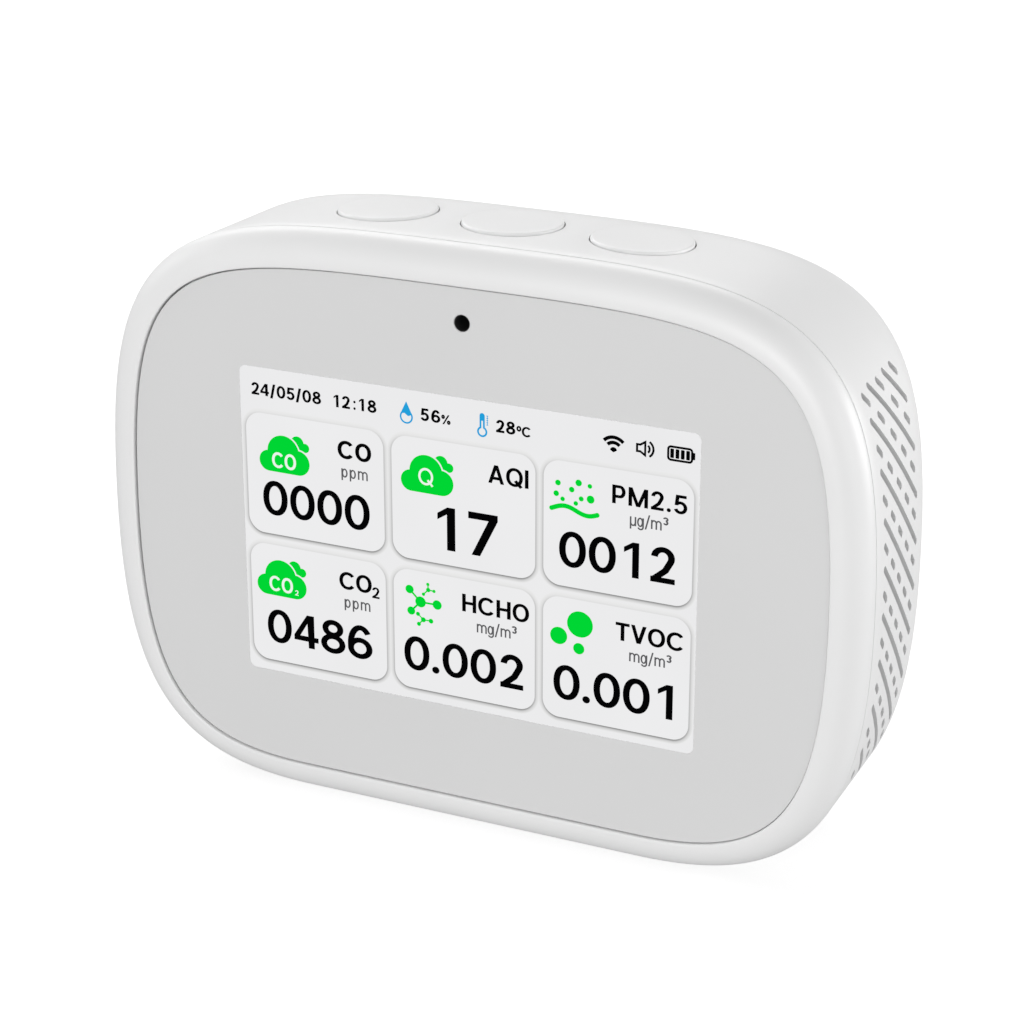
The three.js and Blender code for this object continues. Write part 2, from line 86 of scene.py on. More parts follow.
camera_data = bpy.data.cameras.new("camera")
camera_data.lens = 94.1
camera_data.sensor_width = 36
camera = bpy.data.objects.new("camera", camera_data)
camera.location = place(159.99, -324.75, 147.14)
camera.rotation_euler = (radians(90 - 21.167), 0, radians(25.073))
bpy.context.scene.collection.objects.link(camera)
bpy.context.scene.camera = camera

# ---- driving dimensions, mm

WALL = 2
GAP = 0.3
FRONT_RADIUS = 4.42
REAR_ROUND_SIDE = 6.5
REAR_ROUND_DEPTH = 9.8
TAPER = 0.43
OPENING_FOOT = 39.12
OPENING_TOP = 40.63
OPENING_SIDE = 55.96
BORDER = bezel_high.x / MM - OPENING_SIDE
WIDEST_HEIGHT = -0.84
FLAT_FOOT = 27.58
FOOT_REACH = 21.36
FOOT_RISE = 30.11
SIDE_RISE = 41.47
CROWN_REACH = 46.32
LEDGE_FRONT, LEDGE_BACK = 2.3, 3.5
SENSOR_HOLE_HEIGHT, SENSOR_HOLE_RADIUS = 35.4, 1.25
OPENING_GROW, OPENING_LEAN = 0.55, 0.4
SCREEN_WIDTH, SCREEN_HEIGHT = 73.44, 48.96

# ---- outline of the case


def bezier(p0, p1, p2, p3, steps):
    """Points with their outward normals along a cubic curve, without its last point."""
    t = (np.arange(steps) / steps)[:, None]
    p0, p1, p2, p3 = (np.array(p, float) for p in (p0, p1, p2, p3))
    points = (1 - t) ** 3 * p0 + 3 * (1 - t) ** 2 * t * p1 + 3 * (1 - t) * t**2 * p2 + t**3 * p3
    slope = (1 - t) ** 2 * (p1 - p0) + 2 * (1 - t) * t * (p2 - p1) + t**2 * (p3 - p2)
    slope /= np.linalg.norm(slope, axis=1)[:, None]
    return np.hstack([points, slope[:, 1:], -slope[:, :1]])


def outline(fineness):
    """The opening's outline, anticlockwise from the foot's middle: points and outward normals."""
    foot = [(FLAT_FOOT * part / 3, -OPENING_FOOT) for part in range(4)]
    side = (OPENING_SIDE, WIDEST_HEIGHT)
    corner = [
        foot[-1], (FLAT_FOOT + FOOT_REACH, -OPENING_FOOT),
        (OPENING_SIDE, WIDEST_HEIGHT - FOOT_RISE), side,
    ]
    crown = [
        side, (OPENING_SIDE, WIDEST_HEIGHT + SIDE_RISE),
        (CROWN_REACH, OPENING_TOP), (0, OPENING_TOP),
    ]
    shapes = ((foot, 2), (corner, 10), (crown, 16))
    curves = [bezier(*shape, steps * fineness) for shape, steps in shapes]
    right = np.concatenate([*curves, [[0, OPENING_TOP, 0, 1]]])
    whole = np.concatenate([right, right[-2:0:-1] * [-1, 1, -1, 1]])
    return whole[:, :2], whole[:, 2:]


def ring(shape, offset, depth, lean=0):
    """One copy of the outline, grown by offset less its lean, at a depth."""
    points, normals = shape
    out = offset - lean * np.minimum(1, 1 + normals[:, 1])
    moved = points + normals * out[:, None]
    return [place(x, depth, z) for x, z in moved]


def quarter_round(offset, depth, across_by, depth_by, steps, lean=0):
    """A quarter ellipse as sections, starting along the wall and turning inwards."""
    angles = [pi / 2 * i / steps for i in range(steps + 1)]
    return [(offset - across_by * (1 - cos(a)), depth + depth_by * sin(a), lean) for a in angles]


# ---- mesh building


def new_object(name, bm):
    bmesh.ops.recalc_face_normals(bm, faces=bm.faces)
    mesh = bpy.data.meshes.new(name)
    bm.to_mesh(mesh)
    bm.free()
    piece = bpy.data.objects.new(name, mesh)
    bpy.context.scene.collection.objects.link(piece)
    return piece


def bridge(bm, loops, sides):
    """Faces from each loop of vertices to the next, along that many of its sides."""
    for near, far in zip(loops, loops[1:]):
        for i in range(sides):
            j = (i + 1) % len(near)
            bm.faces.new((near[i], near[j], far[j], far[i]))


def skin(rings, closed=False):
    """A closed bmesh through rings of points, capped at its ends or joined end to start."""
    bm = bmesh.new()
    loops = [[bm.verts.new(p) for p in points] for points in rings]
    bridge(bm, loops + loops[:1] if closed else loops, len(loops[0]))
    if not closed:
        bm.faces.new(loops[0][::-1])
        bm.faces.new(loops[-1])
    return bm


def loft(sections, fineness, closed=False):
    shape = outline(fineness)
    return skin([ring(shape, *section) for section in sections], closed)


def circle(radius, sides):
    turns = [2 * pi * i / sides for i in range(sides)]
    return [(radius * cos(a), radius * sin(a)) for a in turns]


def bar_rings(x, height, sections, sides):
    """Rings for a round bar running from front to back; sections are (radius, depth)."""
    return [
        [place(x + px, depth, height + pz) for px, pz in circle(r, sides)] for r, depth in sections
    ]


def bar(x, height, radius, depth0, depth1, sides=48):
    return skin(bar_rings(x, height, [(radius, depth0), (radius, depth1)], sides))


def extruded(points, front, back):
    """A solid with one outline, running from a front depth to a back depth."""
    return skin([[place(x, depth, z) for x, z in points] for depth in (front, back)])


def block(low, high):
    (x0, d0, z0), (x1, d1, z1) = low, high
    return extruded([(x0, z0), (x1, z0), (x1, z1), (x0, z1)], d0, d1)


def rounded_corners(width, height, radius, steps):
    """Outline of a rectangle with round corners, anticlockwise, round (0, 0)."""
    points = []
    for corner, (sx, sy) in enumerate([(1, -1), (1, 1), (-1, 1), (-1, -1)]):
        for i in range(steps + 1):
            a = radians(-90 + 90 * corner) + pi / 2 * i / steps
            points.append((
                sx * (width / 2 - radius) + radius * cos(a),
                sy * (height / 2 - radius) + radius * sin(a),
            ))
    return points


def boolean_with(piece, operation, other):
    """Joins, cuts or crosses piece with another closed object, which is used up."""
    modifier = piece.modifiers.new("boolean", "BOOLEAN")
    modifier.operation = operation
    modifier.solver = "MANIFOLD"
    modifier.object = other
    graph = bpy.context.evaluated_depsgraph_get()
    result = bpy.data.meshes.new_from_object(piece.evaluated_get(graph))
    piece.modifiers.clear()
    old = piece.data
    piece.data = result
    result.name = piece.name
    bpy.data.meshes.remove(old)
    bpy.data.objects.remove(other)
    if not piece.data.polygons:
        raise RuntimeError(f"{piece.name}: the boolean left nothing")


def boolean(piece, operation, tools):
    """Joins or cuts piece with closed bmeshes, one after another."""
    for tool in tools:
        boolean_with(piece, operation, new_object("tool", tool))


def merge(bms):
    """Several closed bodies that don't touch, as one bmesh."""
    whole = bmesh.new()
    for bm in bms:
        mesh = bpy.data.meshes.new("part")
        bm.to_mesh(mesh)
        bm.free()
        whole.from_mesh(mesh)
        bpy.data.meshes.remove(mesh)
    return whole


def finish_piece(piece, material, stands_for=(), angle=28, body="case"):
    """Smooth shading with crisp edges, material, and its place in the frame."""
    mesh = piece.data
    mesh.shade_smooth()
    mesh.set_sharp_from_angle(angle=radians(angle))
    mesh.materials.clear()
    mesh.materials.append(material)
    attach(piece, body)
    if stands_for:
        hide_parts(*stands_for)


# ---- materials


class Nodes:
    """A small helper for building one Principled material."""

    def __init__(self, name, colour, roughness, metallic=0.0):
        self.material = bpy.data.materials.new(name)
        self.material.use_nodes = True
        self.tree = self.material.node_tree
        self.shader = self.tree.nodes["Principled BSDF"]
        self.set("Base Color", (*colour, 1))
        self.set("Roughness", roughness)
        self.set("Metallic", metallic)
        self.where = self.tree.nodes.new("ShaderNodeTexCoord").outputs["Object"]

    def put(self, socket, value):
        """Gives a socket a fixed value, or links it to another node's output."""
        if isinstance(value, bpy.types.NodeSocket):
            self.tree.links.new(value, socket)
        else:
            socket.default_value = value

    def set(self, name, value):
        self.put(self.shader.inputs[name], value)

    def node(self, kind, output, inputs, **settings):
        """Adds a node with these inputs and settings, and returns one of its outputs."""
        node = self.tree.nodes.new(f"ShaderNode{kind}")
        for name, value in settings.items():
            setattr(node, name, value)
        for name, value in inputs.items():
            self.put(node.inputs[name], value)
        return node.outputs[output]

    def noise(self, scale, detail=2.0, stretch=None):
        """Noise, drawn out along the axes where stretch is small, as brushing leaves it."""
        where = self.where
        if stretch:
            where = self.node("Mapping", "Vector", {"Vector": where, "Scale": stretch})
        inputs = {"Vector": where, "Scale": scale, "Detail": detail}
        return self.node("TexNoise", "Fac", inputs)

    def waves(self, scale, direction, distortion=0.0):
        """Parallel ridges across the X, Y or Z axis."""
        inputs = {"Vector": self.where, "Scale": scale, "Distortion": distortion}
        return self.node("TexWave", "Fac", inputs, bands_direction=direction)

    def cells(self, scale, feature="F1"):
        inputs = {"Vector": self.where, "Scale": scale}
        return self.node("TexVoronoi", "Distance", inputs, feature=feature)

    def both(self, operation, a, b):
        return self.node("Math", 0, {0: a, 1: b}, operation=operation)

    def ramp(self, value, *stops):
        """Maps a value through (position, colour) stops."""
        node = self.tree.nodes.new("ShaderNodeValToRGB")
        elements = node.color_ramp.elements
        for element, (position, colour) in zip(elements, stops):
            element.position = position
            element.color = (*colour, 1)
        self.put(node.inputs["Fac"], value)
        return node.outputs["Color"]

    def colour(self, value, *stops):
        """Colours the surface by a value, through two (position, colour) stops."""
        self.set("Base Color", self.ramp(value, *stops))

    def vary(self, value, low, high):
        """Varies the roughness between low and high."""
        inputs = {"Value": value, "To Min": low, "To Max": high}
        self.set("Roughness", self.node("MapRange", "Result", inputs))

    def bump(self, value, strength, distance):
        inputs = {"Height": value, "Strength": strength, "Distance": distance}
        self.set("Normal", self.node("Bump", "Normal", inputs))


def grey(value):
    return (value, value, value)


def linear(level):
    """A screen level from 0 to 255 as linear light."""
    value = level / 255
    return ((value + 0.055) / 1.055) ** 2.4 if value > 0.04045 else value / 12.92


def moulded(name, low, high, roughness, grain=2600, depth=0.00001):
    """Moulded plastic: a fine spark-eroded grain and a faint drift in colour and gloss."""
    nodes = Nodes(name, high, roughness)
    nodes.colour(nodes.noise(35, 3), (0.3, low), (0.7, high))
    nodes.vary(nodes.noise(90, 3), roughness - 0.04, roughness + 0.05)
    nodes.bump(nodes.noise(grain, 2), 0.25, depth)
    return nodes.material


def steel(name, colour, stretch, roughness):
    """Plated or pressed metal with fine draw marks along one direction."""
    nodes = Nodes(name, colour, roughness, 1.0)
    faint = tuple(c * 0.86 for c in colour)
    marks = nodes.noise(900, 3, stretch)
    nodes.colour(marks, (0.3, faint), (0.7, colour))
    nodes.vary(marks, roughness - 0.08, roughness + 0.12)
    nodes.bump(marks, 0.12, 0.00001)
    return nodes.material


def circuit_board(name):
    """Green solder mask: copper runs show through as lighter lines, with small tinned pads."""
    nodes = Nodes(name, (0.01, 0.09, 0.035), 0.35)
    runs = nodes.both("MAXIMUM", nodes.waves(170, "X", 1.5), nodes.waves(140, "Z", 2.5))
    mask = nodes.ramp(runs, (0.72, (0.008, 0.075, 0.028)), (0.86, (0.02, 0.15, 0.05)))
    pads = nodes.ramp(nodes.cells(420), (0.16, grey(1)), (0.2, grey(0)))
    tin = (0.55, 0.56, 0.55, 1)
    inputs = {"Fac": pads, "Color1": mask, "Color2": tin}
    nodes.set("Base Color", nodes.node("MixRGB", "Color", inputs))
    nodes.vary(nodes.noise(120), 0.28, 0.42)
    nodes.bump(runs, 0.3, 0.00003)
    return nodes.material


def wire_insulation(name):
    nodes = Nodes(name, (0.3, 0.01, 0.012), 0.45)
    nodes.colour(nodes.noise(260, 3), (0.3, (0.25, 0.008, 0.01)), (0.7, (0.36, 0.015, 0.018)))
    nodes.vary(nodes.noise(400), 0.38, 0.55)
    nodes.bump(nodes.noise(1800), 0.2, 0.00002)
    return nodes.material


def patterned(name, base, roughness, pattern, stops, gloss=None, relief=None, metallic=0.0):
    """Colour and relief along a pattern; gloss is a noise scale and a range of roughness."""
    nodes = Nodes(name, base, roughness, metallic)
    marks = pattern(nodes)
    nodes.colour(marks, *stops)
    if gloss:
        nodes.vary(nodes.noise(gloss[0]), *gloss[1:])
    if relief:
        nodes.bump(marks, *relief)
    return nodes.material


def weave(nodes):
    """Threads of a fine dust mesh, crossing at right angles."""
    return nodes.both("MAXIMUM", nodes.waves(520, "Y"), nodes.waves(520, "Z"))


def creases_and_crease_shade(nodes):
    """Crinkles of laminated foil round a flat cell, with noise; where this colours the foil it paints
    shade, darker along the crease lines.
    """
    return nodes.both("ADD", nodes.cells(160, "DISTANCE_TO_EDGE"), nodes.noise(240, 4))


case_white = moulded("case_white", grey(0.82), grey(0.84), 0.42)
button_white = moulded("button_white", grey(0.83), grey(0.85), 0.38)
panel_grey = moulded("panel_grey", grey(0.7), grey(0.71), 0.3, 4200, 0.000004)
black_plastic = moulded("black_plastic", grey(0.018), grey(0.026), 0.55)
plated_steel = steel("plated_steel", (0.6, 0.6, 0.61), (1, 0.06, 1), 0.32)

# ---- finishes of the CAD's own nodes

FINISHES = {
    "case_white": case_white,
    "panel_grey": panel_grey,
    "screen": patterned(
        "display_glass", grey(0.02), 0.12, lambda nodes: nodes.noise(45),
        [(0.3, grey(0.015)), (0.7, (0.022, 0.023, 0.028))], (300, 0.08, 0.16),
    ),
    "foam": patterned(
        "foam_tape", grey(0.03), 0.95, lambda nodes: nodes.cells(1500),
        [(0.1, grey(0.015)), (0.5, grey(0.05))], None, (0.8, 0.0002),
    ),
    "metal": steel("pressed_sheet", (0.66, 0.67, 0.69), (0.05, 1, 1), 0.38),
    "steel": plated_steel,
    "black_plastic": black_plastic,
    "board_green": circuit_board("circuit_board"),
    "flex_amber": patterned(
        "amber_film", (0.5, 0.2, 0.03), 0.35, lambda nodes: nodes.waves(320, "X"),
        [(0.45, (0.42, 0.15, 0.02)), (0.6, (0.62, 0.3, 0.06))], (150, 0.28, 0.45), (0.2, 0.00002),
    ),
    "sensor_white": moulded("sensor_white", (0.76, 0.75, 0.7), (0.8, 0.79, 0.75), 0.5),
    # battery foil: a random drift in tone, and painted shade that darkens it along the crease lines
    "battery_foil": patterned(
        "battery_foil", (0.5, 0.52, 0.55), 0.42, creases_and_crease_shade,
        [(0.35, (0.44, 0.46, 0.49)), (0.75, (0.56, 0.58, 0.61))], (200, 0.34, 0.5), (0.35, 0.0001), 0.7,
    ),
    "lead_red": wire_insulation("lead_red"),
    "dust_mesh": patterned(
        "dust_mesh", grey(0.5), 0.7, weave,
        [(0.45, grey(0.1)), (0.75, grey(0.26))], (300, 0.6, 0.8), (0.5, 0.0001),
    ),
}

for subpart in frame["record"]["subparts"]:
    node_mesh = frame["nodes"][subpart["node"]].data
    node_mesh.materials.clear()
    node_mesh.materials.append(FINISHES[subpart["material_slot"]])

# ---- front bezel

SCREW_POSTS = [(-46.5, 30.5), (46.5, 30.5), (-46.5, -28.5), (46.5, -28.5)]
BOARD_POSTS = [(-46, 12), (46, 12), (-46, -12), (46, -12)]
SCREW_POST_RADIUS, SCREW_PILOT_RADIUS, SCREW_PILOT_FRONT = 3.2, 1.35, 6
BOARD_POST_RADIUS, BOARD_PILOT_RADIUS, BOARD_PILOT_FRONT = 2.5, 1, 4.2
POST_JOINT, BOARD_POST_BACK = 16, 6.9
PARTING_LINE = 0.16
LIP_LENGTH, LIP_THICKNESS = 2, 1.2
LEDGE_REACH = 1.2
MOUTH_ROUNDING = 0.25
ROOT, OVERLAP = 0.5, 0.4
INSIDE = BORDER - WALL
EDGE = 0.14


def bezel_sections():
    """The bezel's wall as a closed run of sections, with the lip that the housing slides over."""
    back = PARTING - PARTING_LINE
    lip_outer, lip_back = INSIDE - GAP, back + LIP_LENGTH
    rounding = quarter_round(BORDER, FRONT_RADIUS - EDGE, FRONT_RADIUS, -FRONT_RADIUS + EDGE, 18)
    return [
        (OPENING_GROW, LEDGE_FRONT + OVERLAP, OPENING_LEAN),
        *quarter_round(OPENING_GROW, MOUTH_ROUNDING, -MOUTH_ROUNDING, -MOUTH_ROUNDING, 5, OPENING_LEAN),
        *rounding[::-1],
        *quarter_round(BORDER, back - EDGE, EDGE, EDGE, 3),
        (lip_outer, back),
        (lip_outer, lip_back),
        (lip_outer - LIP_THICKNESS, lip_back),
        (lip_outer - LIP_THICKNESS, LEDGE_BACK - OVERLAP),
    ]


def front_bezel():
    piece = new_object("front_bezel_shell", loft(bezel_sections(), 9, closed=True))
    ledge = loft([(LEDGE_REACH, LEDGE_FRONT), (LEDGE_REACH, LEDGE_BACK)], 4)
    window = block(
        (display_low.x / MM - GAP, 0, display_low.z / MM - SCREEN_Z - GAP),
        (display_high.x / MM + GAP, LEDGE_BACK + 1, display_high.z / MM - SCREEN_Z + GAP),
    )
    posts, pilots = [], []
    for x, z in SCREW_POSTS:
        posts.append(bar(x, z, SCREW_POST_RADIUS, LEDGE_BACK - ROOT, POST_JOINT))
        pilots.append(bar(x, z, SCREW_PILOT_RADIUS, SCREW_PILOT_FRONT, POST_JOINT + 1, 24))
    for x, z in BOARD_POSTS:
        posts.append(bar(x, z, BOARD_POST_RADIUS, LEDGE_BACK - ROOT, BOARD_POST_BACK))
        pilots.append(bar(x, z, BOARD_PILOT_RADIUS, BOARD_PILOT_FRONT, BOARD_POST_BACK + 1.1, 24))
    boolean(piece, "UNION", [ledge, merge(posts)])
    sensor_hole = bar(0, SENSOR_HOLE_HEIGHT, SENSOR_HOLE_RADIUS, 0, PARTING)
    boolean(piece, "DIFFERENCE", [merge([window, sensor_hole, *pilots])])
    finish_piece(piece, case_white, ["front_bezel"])


front_bezel()

# ---- rear housing

BUTTON_RADIUS, BUTTON_PITCH, BUTTON_DEPTH = 7.5, 20.4, 17.5
BUTTON_HOLE, BUTTON_HOLE_FOOT, BUTTON_HOLE_TOP = BUTTON_RADIUS + 0.2, 36, 50
BUTTON_STEPS = {"left": -1, "middle": 0, "right": 1}
VENT_FRONT, VENT_BACK, VENT_TOP, VENT_FOOT = 8.2, 24.6, 31, -29.5
VENT_FIRST, VENT_PITCH, VENT_WIDTH = 54.5, 7.1, 1.05
VENT_INSIDE, VENT_OUTSIDE = 51, 66
SLOT_SHIFT, DASH_SHIFT = 5, 1.6
DASH_PITCH, DASH_LENGTH, DASH_OVERRUN = 3.43, 2.8, 0.5
SCREW_SEAT = 24
TOWER_RADIUS, SCREW_HOLE, COUNTERBORE = 3.75, 1.5, 2.8
USB_HEIGHT, USB_WIDTH, USB_THICKNESS = -30.5, 8.94, 3.26
RIM = 0.18
BACK_START = BODY_DEPTH - REAR_ROUND_DEPTH
SIDE_START = PARTING + EDGE

# middle x, half width, depths and heights of fittings that come in left and right pairs
BOARD_REST = (8.5, 1.5, (21, 31), (-43.5, -33.5))
HANGER = (31.8, 2, (12, 22), (33.2, 46))
HANGER_SLOT = (30.2, 2.6, (10, 23), (34.6, 36.2))


def slot_cutter(side, depth0, depth1, total):
    """A slanted slot with round ends through a side wall, along the line depth + height = total."""
    points = []
    reach = VENT_WIDTH / 2
    inset = reach / sqrt(2)
    for depth, facing in ((depth1 - inset, -45), (depth0 + inset, 135)):
        for i in range(9):
            a = radians(facing - 90) + pi * i / 8
            points.append((depth + reach * cos(a), total - depth + reach * sin(a)))
    return skin([[place(side * x, d, z) for d, z in points] for x in (VENT_INSIDE, VENT_OUTSIDE)])


def vent_cutters(side):
    """Long slots, with chains of short dashes between them."""
    cutters = []
    dash = DASH_LENGTH / sqrt(2)
    total = VENT_FIRST
    while total > VENT_FOOT + VENT_FRONT:
        slot = total - SLOT_SHIFT
        start, end = max(VENT_FRONT, slot - VENT_TOP), min(VENT_BACK, slot - VENT_FOOT)
        if end - start > dash:
            cutters.append(slot_cutter(side, start, end, slot))
        chain = total - DASH_SHIFT
        depth = VENT_FRONT
        while depth + dash <= VENT_BACK + DASH_OVERRUN:
            if chain - depth <= VENT_TOP and chain - depth - dash >= VENT_FOOT:
                cutters.append(slot_cutter(side, depth, depth + dash, chain))
            depth += DASH_PITCH
        total -= VENT_PITCH
    return cutters


def button_ring(x, radius, height, sides=96):
    """Points round a button; height is a number, or a function of x and depth."""
    points = [(x + px, BUTTON_DEPTH + depth) for px, depth in circle(radius, sides)]
    return [place(px, depth, height(px, depth) if callable(height) else height) for px, depth in points]


def button_hole(step):
    heights = (BUTTON_HOLE_FOOT, BUTTON_HOLE_TOP)
    return skin([button_ring(step * BUTTON_PITCH, BUTTON_HOLE, height) for height in heights])


def housing_back(offset, inset, steps):
    """The rounded back of the housing as sections, inset towards the inside."""
    side, depth = REAR_ROUND_SIDE - inset, REAR_ROUND_DEPTH - inset
    return quarter_round(offset, BACK_START, side, depth, steps, TAPER)


def rear_housing():
    wall = [(i / 8, SIDE_START + (BACK_START - SIDE_START) * i / 8) for i in range(1, 8)]
    outer = [
        *quarter_round(BORDER, SIDE_START, EDGE, -EDGE, 3)[::-1],
        *[(BORDER, depth, TAPER * part) for part, depth in wall],
        *housing_back(BORDER, 0, 22),
    ]
    piece = new_object("rear_housing_shell", loft(outer, 9))
    boolean(piece, "DIFFERENCE", [loft([(INSIDE, PARTING - 1), *housing_back(INSIDE, WALL, 10)], 4)])
    return piece


def pair_of_blocks(middle, half, depths, heights):
    return [
        block((x - half, depths[0], heights[0]), (x + half, depths[1], heights[1]))
        for x in (-middle, middle)
    ]


def housing_fittings():
    """Screw towers, rests for the charging board and hangers for the button board."""
    towers = [bar(x, z, TOWER_RADIUS, POST_JOINT + GAP, BODY_DEPTH - 1) for x, z in SCREW_POSTS]
    solids = [*towers, *pair_of_blocks(*BOARD_REST), *pair_of_blocks(*HANGER)]
    piece = new_object("fittings", merge(solids))
    limit = loft([(BORDER, PARTING + 0.1), *housing_back(BORDER - 0.2, 0.2, 12)], 6)
    boolean(piece, "DIFFERENCE", [merge(pair_of_blocks(*HANGER_SLOT))])
    boolean(piece, "INTERSECT", [limit])
    return piece


def screw_hole(x, height):
    """A stepped hole with a softened mouth in the back of the housing."""
    mouth = BODY_DEPTH - RIM
    sections = [
        (SCREW_HOLE, POST_JOINT), (SCREW_HOLE, SCREW_SEAT), (COUNTERBORE, SCREW_SEAT),
        (COUNTERBORE, mouth - 0.5), (COUNTERBORE, mouth), (COUNTERBORE + RIM + 1, mouth + RIM + 1),
    ]
    return skin(bar_rings(x, height, sections, 48))


def usb_rings(sections):
    """Rings in the charging socket's shape, a rectangle with full round ends, grown by each grow."""
    rings = []
    for grow, depth in sections:
        width, height = USB_WIDTH + 2 * grow, USB_THICKNESS + 2 * grow
        shape = rounded_corners(width, height, height / 2 - 0.001, 10)
        rings.append([place(x, depth, USB_HEIGHT + z) for x, z in shape])
    return rings


def usb_hole():
    mouth = BODY_DEPTH - RIM
    return skin(usb_rings([
        (GAP, BODY_DEPTH - WALL - 1), (GAP, mouth), (GAP + RIM + 1, mouth + RIM + 1),
    ]))


rear = rear_housing()
boolean_with(rear, "UNION", housing_fittings())
holes = [screw_hole(x, z) for x, z in SCREW_POSTS]
holes += [button_hole(step) for step in BUTTON_STEPS.values()]
boolean(rear, "DIFFERENCE", [merge([*holes, usb_hole(), *vent_cutters(-1), *vent_cutters(1)])])
finish_piece(rear, case_white, ["rear_housing"])

# ---- push buttons

BUTTON_PROUD, BUTTON_ROUNDING = 0.45, 0.35
FLANGE_RADIUS, STEM_RADIUS, STEM_CHAMFER = 8.7, 1.5, 0.2
STEM_FOOT, CAP_FOOT = 40.7, 42.2
CROWN_SLOPE = 0.3


def crown_height(offset):
    """Height of the crown at x and depth, for a wall at that offset from the opening."""
    points, normals = outline(9)
    upper = normals[:, 1] > CROWN_SLOPE
    points, normals = points[upper], normals[upper]
    order = np.argsort(points[:, 0])
    points, normals = points[order], normals[order]

    def height(x, depth):
        lean = TAPER * (depth - SIDE_START) / (BACK_START - SIDE_START)
        moved = points + normals * (offset - lean)
        return float(np.interp(x, moved[:, 0], moved[:, 1]))

    return height


outer_crown, inner_crown = crown_height(BORDER), crown_height(INSIDE)


def button(place_name, step):
    """A cap that follows the crown, with a soft edge, a flange inside the case and a stem."""
    x = step * BUTTON_PITCH

    def top(drop):
        return lambda px, depth: outer_crown(px, depth) + BUTTON_PROUD - drop

    def flange_top(px, depth):
        return inner_crown(px, depth) - GAP

    sections = [
        (STEM_RADIUS - STEM_CHAMFER, STEM_FOOT), (STEM_RADIUS, STEM_FOOT + STEM_CHAMFER),
        (STEM_RADIUS, CAP_FOOT), (FLANGE_RADIUS, CAP_FOOT), (FLANGE_RADIUS, flange_top),
        (BUTTON_RADIUS, flange_top), (BUTTON_RADIUS, top(1)),
    ]
    soft = BUTTON_ROUNDING
    rounding = quarter_round(BUTTON_RADIUS, soft, soft, -soft, 7)
    sections += [(radius, top(drop)) for radius, drop, _ in rounding]
    sections += [(BUTTON_RADIUS * part, top(0)) for part in (0.8, 0.6, 0.4, 0.2, 0.03)]
    rings = [button_ring(x, radius, height) for radius, height in sections]
    piece = new_object(f"button_cap_{place_name}", skin(rings))
    node, body = f"button_{place_name}", f"{place_name}_button"
    finish_piece(piece, button_white, [node], body=body)


for place_name, step in BUTTON_STEPS.items():
    button(place_name, step)

# ---- charging socket and screws

SOCKET_LOW, SOCKET_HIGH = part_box("usb_socket")
SOCKET_FRONT, SOCKET_BACK = SOCKET_LOW.y / MM - FRONT_Y, SOCKET_HIGH.y / MM - FRONT_Y
SHELL_THICKNESS, SHELL_LIP = 0.3, 0.12
SHELL_BASE, SHELL_BASE_WALL = 1.6, 1.0
TONGUE_HALF_WIDTH, TONGUE_HALF_THICKNESS = 3.3, 0.35
TONGUE_BASE, TONGUE_BASE_THICKNESS = 1.9, 1.2
CONTACTS, CONTACT_PITCH, CONTACT_HALF_WIDTH = 12, 0.5, 0.13
CASE_SCREW = {"head_radius": 2.3, "head_height": 1.8, "shank_radius": 1.2, "length": 15}
BOARD_SCREW = {"head_radius": 1.9, "head_height": 1.3, "shank_radius": 0.85, "length": 4}
BOARD_SEAT = 8.7
THREAD_PITCH, THREAD_ROOT = 0.7, 0.8


def usb_socket():
    """A drawn steel shell with rolled lips, open at the back."""
    lip, wall, base_back = SHELL_LIP, SHELL_THICKNESS, SOCKET_FRONT + SHELL_BASE
    sections = [
        (0, SOCKET_FRONT + lip), (0, SOCKET_BACK - lip), (-lip / 3, SOCKET_BACK - lip / 3),
        (-lip, SOCKET_BACK), (-wall + lip / 2, SOCKET_BACK), (-wall, SOCKET_BACK - lip),
        (-wall, base_back), (-SHELL_BASE_WALL, base_back), (-SHELL_BASE_WALL, SOCKET_FRONT),
        (-lip, SOCKET_FRONT),
    ]
    piece = new_object("usb_shell", skin(usb_rings(sections), closed=True))
    finish_piece(piece, plated_steel, ["usb_socket"], 40)


def usb_tongue():
    """The insulator tongue inside the socket, with its row of contacts on both faces."""
    root, tip = SOCKET_FRONT, SOCKET_BACK - 1.1
    width = 2 * TONGUE_HALF_WIDTH
    tongue = rounded_corners(width, 2 * TONGUE_HALF_THICKNESS, 0.12, 3)
    base = rounded_corners(width + 0.9, TONGUE_BASE_THICKNESS, 0.3, 3)
    step = root + TONGUE_BASE
    piece = new_object("usb_tongue", skin([
        [place(x, depth, USB_HEIGHT + z) for x, z in shape]
        for shape, depth in ((base, root), (base, step), (tongue, step), (tongue, tip))
    ]))
    finish_piece(piece, black_plastic)
    contacts = []
    for side in (-1, 1):
        z = USB_HEIGHT + side * (TONGUE_HALF_THICKNESS + 0.02)
        for i in range(CONTACTS):
            x = (i - (CONTACTS - 1) / 2) * CONTACT_PITCH
            low = (x - CONTACT_HALF_WIDTH, step + 0.3, z - 0.05)
            contacts.append(block(low, (x + CONTACT_HALF_WIDTH, tip - 0.4, z + 0.05)))
    row = new_object("usb_contacts", merge(contacts))
    finish_piece(row, steel("contact_gold", (0.83, 0.6, 0.24), (1, 0.1, 1), 0.25))


